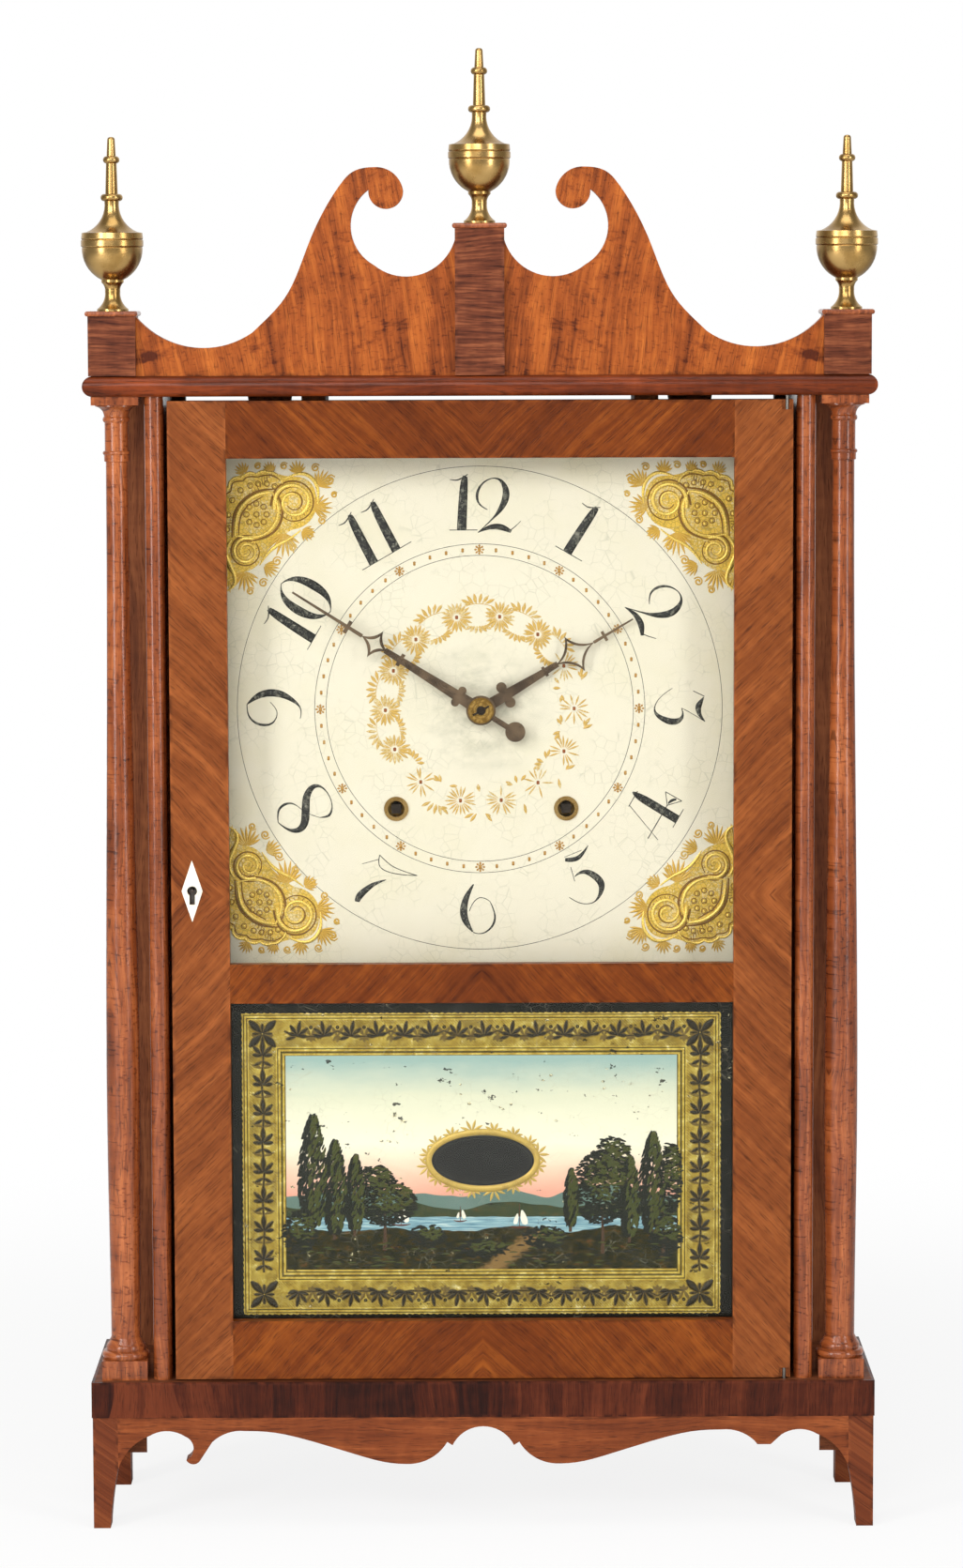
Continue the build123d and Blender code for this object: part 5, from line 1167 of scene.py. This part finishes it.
@dataclass(frozen=True)
class Landscape:
    """The picture on the back of the lower glass: hills and a lake in a gold leaf border."""

    name: str = "glass_picture"
    border: tuple[float, float, float, float] = (-130.6, 129.8, 114.1, 281.1)
    picture: tuple[float, float, float, float] = (-106.2, 105.3, 139.6, 257.0)
    horizon: float = 176.0

    def inside(self, x: Value, z: Value, sides: tuple[float, float, float, float]) -> Value:
        """How far a point lies within a rectangle, in millimetres."""
        left, right, low, high = sides
        return (x - left).least(right - x).least(z - low).least(high - z)

    def band(self, depth: Value, place: float, half: float) -> Value:
        """One on a thin line at a depth within the border."""
        return 1.0 - abs(depth - place).step(half, half + 0.25)

    def scene_colour(self, graph: Graph, x: Value, z: Value) -> bpy.types.NodeSocket:
        """Colours of the picture itself.

        Args:
            graph: the material in the making.
            x, z: the place in millimetres.

        Returns:
            The colour.
        """
        cloud = graph.noise(x / 34.0, 1.0, z / 12.0, 4.0, 0.6)
        height = z + (cloud - 0.5) * 14.0
        sky = graph.ramp((height - self.horizon) / 80.0, (0.0, tint(226, 150, 130)),
                         (0.18, tint(236, 192, 168)),
                         (0.4, tint(240, 234, 210)), (0.74, tint(214, 214, 190)), (0.98, tint(152, 178, 172)))
        far = graph.noise(x / 44.0, 3.0, 0.0, 2.0) * 26.0 + self.horizon - 7.0
        colour = graph.mix(z < far, sky, graph.mix(cloud, tint(112, 134, 128), tint(84, 108, 96)))
        near = graph.noise(x / 62.0, 9.0, 0.0, 2.0) * 22.0 + self.horizon - 12.0
        daub = graph.noise(x / 5.0, 2.0, z / 3.0, 4.0, 0.7)
        green = graph.ramp(daub, (0.34, tint(10, 12, 4)), (0.5, tint(36, 35, 10)), (0.6, tint(64, 52, 15)),
                           (0.72, tint(104, 52, 20)))
        colour = graph.mix(z < near, colour, graph.mix(0.35, green, tint(78, 96, 66)))
        lake_top = self.horizon - 7.5
        shore = graph.noise(x / 30.0, 14.0, 0.0, 3.0) * 13.0 + 155.0
        ripple = graph.noise(x / 14.0, 4.0, z / 0.9, 2.0)
        water = graph.ramp(ripple, (0.3, tint(86, 128, 146)), (0.6, tint(150, 184, 192)),
                           (0.8, tint(222, 228, 220)))
        colour = graph.mix(z < lake_top + (graph.noise(x / 9.0, 6.0, 0.0, 2.0) - 0.5) * 2.0, colour, water)
        bank = z < shore
        colour = graph.mix(bank, colour, green)
        path_x = 18.0 + (z - 150.0) * 1.3
        path = (1.0 - abs(x - path_x + (daub - 0.5) * 14.0).step(3.0, 9.0)) * bank
        colour = graph.mix(path * 0.7, colour, tint(150, 116, 68))
        return colour

    def material(self) -> bpy.types.Material:
        """Makes the picture, its border and the black around it."""
        graph = Graph(self.name)
        x, y, z = graph.place()
        depth = self.inside(x, z, self.border)
        picture = self.inside(x, z, self.picture) > 0.0
        wobble = graph.noise(x / 1.2, 0.0, z / 1.2, 1.0) - 0.5
        tooth = ((x + z) * 1.9).sine() * 0.25
        edge = (depth + tooth + wobble * 0.6) > 0.9
        cloud = graph.noise(x / 12.0, 2.0, z / 12.0, 4.0, 0.6)
        grit = graph.noise(x / 0.8, 2.0, z / 0.8, 2.0)
        leaf_fold_and_glint = graph.noise(x / 6.0 + cloud * 2.0, 5.0, z / 6.0, 4.0, 0.7)
        # Gold leaf tone over its crinkles, partly the leaf's own colour and partly painted highlight: the
        # near-white top of the ramp is painted glint.
        gold = graph.ramp(leaf_fold_and_glint * 0.7 + grit * 0.3, (0.3, tint(124, 100, 30)), (0.46, tint(178, 150, 58)),
                          (0.58, tint(214, 190, 92)), (0.68, tint(255, 246, 190)))
        black = graph.mix(cloud, tint(12, 12, 10), tint(26, 24, 18))
        lines = self.band(depth, 1.9, 0.2)
        for place, half in ((3.6, 0.2), (20.2, 0.2), (22.2, 0.45), (24.2, 0.25)):
            lines = lines.most(self.band(depth, place, half))
        gold = graph.mix(lines * 0.85, gold, tint(34, 28, 12))
        panel = depth.step(4.2, 5.0) * (1.0 - depth.step(18.8, 19.6))
        hatch = ((x + z) * 4.2).sine().step(0.1, 0.7) * abs(depth - 11.9).step(2.0, 7.0)
        gold = graph.mix(panel * (0.16 + hatch * 0.45 + cloud.step(0.4, 0.65) * 0.3), gold, tint(72, 56, 20))
        colour = graph.mix(edge, black, gold)
        colour = graph.mix(picture, colour, self.scene_colour(graph, x, z))
        flake = graph.cells(x / 5.5 + cloud * 1.2, 0.0, z / 4.0)
        patch = graph.noise(x / 20.0, 8.0, z / 14.0, 3.0, 0.6)
        loss = (1.0 - flake.step(0.16, 0.22)) * patch.step(0.55, 0.62)
        colour = graph.mix(loss * 0.85, colour, graph.mix(grit.step(0.5, 0.55), tint(24, 20, 14),
                                                          tint(240, 226, 176)))
        gone = graph.noise(x / 13.0, 21.0, z / 8.0, 4.0, 0.7).step(0.635, 0.645)
        colour = graph.mix(gone * 0.9, colour, tint(26, 24, 20))
        crackle = 1.0 - graph.cells(x / 6.0, 0.0, z / 4.5, "DISTANCE_TO_EDGE").step(0.0, 0.03)
        colour = graph.mix(crackle * patch.step(0.45, 0.62) * 0.3, colour, tint(170, 164, 140))
        gilded = edge * (1.0 - picture)
        return graph.finish({
            "Base Color": colour, "Metallic": gilded * (1.0 - lines) * 0.3,
            "Roughness": 0.4 + (grit - 0.5) * 0.3,
            "Specular IOR Level": 0.15, "Normal": graph.bump(leaf_fold_and_glint + grit * 0.4, 0.16)})


@dataclass
class Tablet:
    """The reverse-painted lower glass of the door: sheets of paint close behind it."""

    back: float = -39.75
    opening: tuple[float, float, float, float] = (-136.2, 136.2, 110.2, 290.0)
    art: Landscape = field(default_factory=Landscape)
    oval: tuple[float, float, float, float] = (0.3, 199.4, 27.3, 13.6)
    inset: float = 12.0
    across_step: float = 14.4
    upright_step: float = 16.0

    def paint(self, made: bpy.types.Object, name: str, finish: Leaf | Pigment | Landscape) -> None:
        """Settles one piece of the painting on the door."""
        settle(made, name, "door", finish.material())

    def ground(self) -> None:
        """Lays the painted ground, one sheet over the whole opening."""
        left, right, low, high = self.opening
        bpy.ops.object.select_all(action="DESELECT")
        bpy.ops.mesh.primitive_cube_add(size=1.0)
        obj = bpy.context.object
        size = Matrix.Diagonal(((right - left) * MM, 0.06 * MM, (high - low) * MM, 1.0))
        place = Matrix.Translation(((left + right) / 2 * MM, (self.back + 0.23) * MM, (low + high) / 2 * MM))
        obj.data.transform(place @ size)
        bpy.ops.object.mode_set(mode="EDIT")
        bpy.ops.mesh.select_all(action="SELECT")
        bpy.ops.mesh.subdivide(number_cuts=3)
        bpy.ops.object.mode_set(mode="OBJECT")
        self.paint(obj, "tablet_ground", self.art)

    def spray(self, x: float, z: float, angle: float, size: float = 1.0) -> list[Stroke]:
        """Five leaves in a fan from one place."""
        return [petal(x, z, angle + turn, length * size, 1.15 * size, 0.3)
                for turn, length in ((-84, 5.2), (-44, 7.2), (0, 8.4), (44, 7.2), (84, 5.2))]

    def garland(self) -> None:
        """Stencils the dark leaf garland along the gold border."""
        left, right, low, high = self.art.border
        inset = self.inset
        leaves, halves, berries = [], [], []
        corners = [(x, z) for x in (left + inset, right - inset) for z in (low + inset, high - inset)]
        for x, z in corners:
            leaves += [petal(x, z, 45 + i * 90, 9.6, 2.2, 0.6) for i in range(4)]
            leaves += [petal(x, z, i * 90, 4.6, 0.7, 1.0) for i in range(4)]
            berries += [ring_line(x, z, 0.7, 0.35)]
        across = [left + 31.0 + self.across_step * i
                  for i in range(int((right - left - 56.0) / self.across_step) + 1)]
        for count, x in enumerate(across):
            for z, away in ((low + inset, -1), (high - inset, 1)):
                sway = 1 if count % 2 else -1
                leaves += self.spray(x, z - 1.2 * away, 90 * away + 10 * sway, 0.95)
                swing = 1.5 * away * sway
                leaves.append(petal(x - 1.0, z - 1.8 * away, 180 - 14 * sway, 5.4, 0.9))
                leaves.append([(x - 7.2, z - swing, 0.25), (x, z - 2.6 * away, 0.4),
                               (x + 7.2, z + swing, 0.25)])
                berries.append(ring_line(x + 7.2, z + 3.4 * away, 0.6, 0.45))
                halves += [petal(x + 7.2, z - 1.5 * away, away * (90 + turn), 6.2, 1.2) for turn in (-30, 30)]
                halves += [petal(x + 7.2, z - 1.0 * away, -away * (90 + turn), 3.8, 1.1) for turn in (-40, 0,
                                                                                                      40)]
        upright = [low + 32.0 + self.upright_step * i
                   for i in range(int((high - low - 52.0) / self.upright_step) + 1)]
        for count, z in enumerate(upright):
            for x in (left + inset, right - inset):
                leaves += self.spray(x, z - 1.0, 90, 1.0)
                leaves.append([(x, z - 8.0, 0.3), (x + (0.9 if count % 2 else -0.9), z, 0.4),
                               (x, z + 8.0, 0.3)])
                leaves += [petal(x, z - 4.0, 90 + s * 118, 5.2, 0.9) for s in (-1, 1)]
                halves += [petal(x, z + 8.0, 90 + s * 70, 6.4, 1.3) for s in (-1, 1)]
        shades = halves + [[(px, pz, half + 0.55) for px, pz, half in leaf] for leaf in leaves]
        self.paint(brush(shades, self.back + 0.15, 0.012, smoothness=3), "border_garland_shade", STENCIL_HALF)
        self.paint(brush(leaves, self.back + 0.12, 0.012, smoothness=4), "border_garland", STENCIL)
        self.paint(brush(berries, self.back + 0.12, 0.04, closed=True, smoothness=1), "border_berries",
                   STENCIL)

    def window(self) -> None:
        """Paints the oval black, as painted shade of the unlit case behind it, with its gold wreath."""
        x, z, wide, tall = self.oval
        ring = ring_line(x, z, wide + 2.0, 2.0, (tall + 2.0) / (wide + 2.0))
        gold = Leaf("oval_gold", tint(204, 172, 88), tint(150, 116, 44), 0.4, 0.42, 0.35, 0.03)
        self.paint(brush([ring], self.back + 0.13, 0.02, closed=True), "oval_ring", gold)
        sprays = []
        for i in range(16):
            a = (i + 0.5) * math.tau / 16
            px, pz = x + (wide + 2.6) * math.cos(a), z + (tall + 2.6) * math.sin(a)
            face = math.degrees(math.atan2(math.sin(a) * wide, math.cos(a) * tall))
            reach = 1.3 if i % 4 == 0 else 1.0
            sprays += [petal(px, pz, face + turn, 5.2 * reach, 0.95) for turn in (-64, -22, 22, 64)]
        self.paint(brush(sprays, self.back + 0.13, 0.03, smoothness=3), "oval_sprays", gold)
        # Painted shade: an opaque black sheet stands for the dark, unlit case seen through the clear oval.
        black = [(px, pz) for px, pz, _ in ring_line(x, z, wide + 0.4, 0.1, tall / wide)]
        self.paint(cut_sheet([black], self.back + 0.1), "oval_window",
                   Pigment("oval_painted_shade", tint(26, 25, 24), tint(52, 50, 46), 0.4, 0.5))
        line = ring_line(x, z, wide - 1.6, 0.12, (tall - 1.6) / (wide - 1.6))
        self.paint(brush([line], self.back + 0.08, 0.1, closed=True), "oval_line",
                   Pigment("oval_grey", tint(60, 58, 52), tint(34, 32, 30), 0.3))

    def crown(self, rng: random.Random, x: float, z: float, wide: float, tall: float,
              count: int) -> list[Stroke]:
        """Foliage dabs that fill a rounded crown.

        Args:
            rng: the source of chance.
            x, z: the crown's middle.
            wide, tall: its half sizes.
            count: how many dabs it has.

        Returns:
            The dabs.
        """
        dabs = []
        for _ in range(count):
            a, r = rng.uniform(0, math.tau), math.sqrt(rng.random())
            px, pz = x + wide * r * math.cos(a), z + tall * r * math.sin(a)
            length, lean = rng.uniform(1.6, 3.4), rng.uniform(-0.7, 0.7)
            dabs.append([(px - length / 2, pz - lean, 0.3), (px, pz + 0.4, rng.uniform(0.7, 1.3)),
                         (px + length / 2, pz + lean, 0.3)])
        return dabs

    def planting(self) -> None:
        """Paints tall poplars, rounded trees, bushes and three small boats in front of the ground."""
        rng = random.Random(5)
        dark, lit, trunks = [], [], []
        poplars = [(-92, 164, 60), (-80, 160, 50), (-69, 162, 40), (92, 160, 54), (80, 158, 42),
                   (48, 164, 30)]
        for x, foot, tall in poplars:
            trunks.append([(x - 0.4, foot - 4, 1.0), (x, foot + tall * 0.3, 0.7),
                           (x + 0.3, foot + tall * 0.6, 0.3)])
            for i in range(int(tall * 13.0)):
                rise = rng.random()
                half = tall * 0.13 * math.sin(math.pi * (0.12 + 0.85 * rise)) ** 0.7
                px, pz = x + rng.uniform(-half, half), foot + tall * rise
                dab = [(px - 0.7, pz - 1.4, 0.3), (px, pz, rng.uniform(0.8, 1.4)), (px + 0.6, pz + 1.6, 0.25)]
                (lit if rng.random() < 0.25 and px > x - half * 0.3 else dark).append(dab)
        for x, z, wide, tall in ((-52, 176, 16, 13), (64, 184, 15, 20), (70, 200, 11, 12), (-99, 160, 9, 12),
                                 (99, 158, 9, 12), (-30, 158, 10, 6), (34, 157, 12, 6), (-58, 188, 10, 9),
                                 (102, 190, 6, 20), (0, 151, 14, 5)):
            dark += self.crown(rng, x, z, wide, tall, int(wide * tall * 2.4))
            lit += self.crown(rng, x + wide * 0.2, z + tall * 0.25, wide * 0.7, tall * 0.6,
                              int(wide * tall * 0.45))
        trunks += [[(x, foot, 1.3), (x + 0.6, foot + 12, 0.9), (x - 0.5, foot + 26, 0.5)]
                   for x, foot in ((-53, 150), (65, 148), (98, 146))]
        for _ in range(150):
            x, z = rng.uniform(-104, 103), rng.uniform(141, 154)
            dab = [(x - 2.2, z, 0.25), (x, z + 0.4, rng.uniform(0.4, 0.9)), (x + 2.2, z, 0.25)]
            (lit if rng.random() < 0.4 else dark).append(dab)
        self.paint(brush(trunks, self.back + 0.17, 0.02), "tree_trunks",
                   Pigment("trunk_brown", tint(74, 50, 30), tint(40, 26, 18), 0.3))
        self.paint(brush(dark, self.back + 0.15, 0.02, smoothness=2), "foliage_dark",
                   Pigment("foliage_dark_green", tint(15, 19, 7), tint(42, 38, 12), 0.4, 0.6))
        self.paint(brush(lit, self.back + 0.14, 0.02, smoothness=2), "foliage_lit",
                   Pigment("foliage_lit_green", tint(64, 70, 22), tint(104, 74, 30), 0.4, 0.6))
        sails, hulls = [], []
        for x, z, size in ((-44, 164, 1.0), (-12, 166, 0.7), (20, 162.5, 1.1)):
            hulls.append([(x - 5 * size, z + 0.5, 0.25), (x, z - 0.7, 0.9 * size),
                          (x + 5 * size, z + 0.6, 0.2)])
            hulls.append([(x, z, 0.2), (x, z + 12 * size, 0.15)])
            sails.append([(x + 0.5, z + 1.2), (x + 5.5 * size, z + 1.6), (x + 0.7, z + 11.5 * size)])
            sails.append([(x - 0.5, z + 1.6), (x - 3.8 * size, z + 1.8), (x - 0.5, z + 9.0 * size)])
        self.paint(cut_sheet(sails, self.back + 0.16), "boat_sails",
                   Pigment("sail_white", tint(238, 232, 216), tint(206, 190, 160), 0.3))
        self.paint(brush(hulls, self.back + 0.155, 0.02), "boat_hulls",
                   Pigment("hull_brown", tint(92, 44, 26), tint(50, 30, 20), 0.3))

    def build(self) -> None:
        """Builds the painted glass."""
        self.ground()
        self.garland()
        self.window()
        self.planting()


@dataclass
class Studio:
    """Pale floor, soft lamps, white surround and the camera."""

    lamps: tuple = (
        ("key_strip", (-1.5, -1.7, 1.0), (0.5, 1.7), 30.0),
        ("fill_strip", (1.6, -1.7, 0.9), (0.4, 1.6), 20.0),
        ("front_lamp", (-0.5, -2.9, 1.7), (1.5, 1.2), 40.0),
        ("top_lamp", (0.0, -0.5, 2.3), (1.6, 1.2), 14.0))
    plain_light: float = 0.36
    lens: float = 111.7
    stand: tuple[float, float, float] = (-0.00336, -2.63969, 0.67307)
    tilt: float = 84.1
    pan: float = -0.078
    roll: float = -0.178

    def surround(self) -> None:
        """Makes the surround white to the camera and plain for the light."""
        graph = Graph("studio_white", world=True)
        bpy.context.scene.world = graph.material
        rays = graph.node("ShaderNodeLightPath").outputs
        facing = graph.node("ShaderNodeTexCoord").outputs["Generated"]
        toward = graph.node("ShaderNodeSeparateXYZ", inputs={0: facing}).outputs["Y"]
        behind = graph.node("ShaderNodeMapRange", inputs={"Value": toward, "From Min": 0.3, "From Max": 0.75})
        seen = Value(graph, rays["Is Camera Ray"]).most(Value(graph, rays["Is Transmission Ray"]))
        white = seen.most(Value(graph, rays["Is Glossy Ray"]) * Value(graph, behind.outputs[0]))
        strength = white * (1.0 - self.plain_light) + self.plain_light
        back = graph.node("ShaderNodeBackground", inputs={"Strength": strength,
                                                          "Color": (1.0, 1.0, 1.0, 1.0)})
        graph.node("ShaderNodeOutputWorld", inputs={0: back.outputs[0]})

    def floor(self) -> None:
        """Lays the pale floor, which keeps the clock's soft shadow."""
        bpy.ops.object.select_all(action="DESELECT")
        bpy.ops.mesh.primitive_plane_add(size=14.0)
        obj = bpy.context.object
        obj.name = "studio_floor"
        graph = Graph("pale_floor")
        seen = graph.node("ShaderNodeLightPath")
        plain = graph.node("ShaderNodeBsdfDiffuse", inputs={0: (0.86, 0.86, 0.85, 1.0)})
        white = graph.node("ShaderNodeEmission", inputs={0: (1.0, 1.0, 1.0, 1.0), 1: 1.0})
        x, y, _ = graph.place()
        away = (x * x + y * y).math("SQRT").step(420.0, 1100.0)
        share = Value(graph, seen.outputs["Is Camera Ray"]) * (0.84 + away * 0.16)
        both = graph.node("ShaderNodeMixShader", inputs={0: share, 1: plain.outputs[0], 2: white.outputs[0]})
        graph.node("ShaderNodeOutputMaterial", inputs={0: both.outputs[0]})
        put(obj, graph.material)

    def light(self) -> None:
        """Hangs the soft lamps, each facing the clock's middle."""
        for name, place, size, power in self.lamps:
            bpy.ops.object.light_add(type="AREA", location=place)
            lamp = bpy.context.object
            lamp.name = name
            lamp.data.shape = "RECTANGLE"
            lamp.data.size, lamp.data.size_y = size
            lamp.data.energy = power
            lamp.rotation_euler = (Vector((0.0, 0.0, 0.4)) - Vector(place)).to_track_quat("-Z",
                                                                                          "Y").to_euler()

    def camera(self) -> None:
        """Stands the camera where the photograph was taken from."""
        bpy.ops.object.camera_add()
        camera = bpy.context.object
        camera.data.lens = self.lens
        turn = Euler((math.radians(self.tilt), 0.0, math.radians(self.pan))).to_matrix()
        turn = turn @ Matrix.Rotation(math.radians(self.roll), 3, "Z")
        camera.matrix_world = Matrix.Translation(self.stand) @ turn.to_4x4()
        bpy.context.scene.camera = camera

    def build(self) -> None:
        """Builds the whole studio."""
        bpy.context.scene.view_settings.view_transform = "Standard"
        self.surround()
        self.floor()
        self.light()
        self.camera()


def main() -> None:
    """Builds the clock's looks and its studio."""
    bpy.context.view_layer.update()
    for part in (Woodwork(), Fittings()):
        part.dress()
    for part in (DialArt(), Tablet(), Studio()):
        part.build()
        log.info("%s is done", type(part).__name__)


if __name__ == "__main__":
    main()
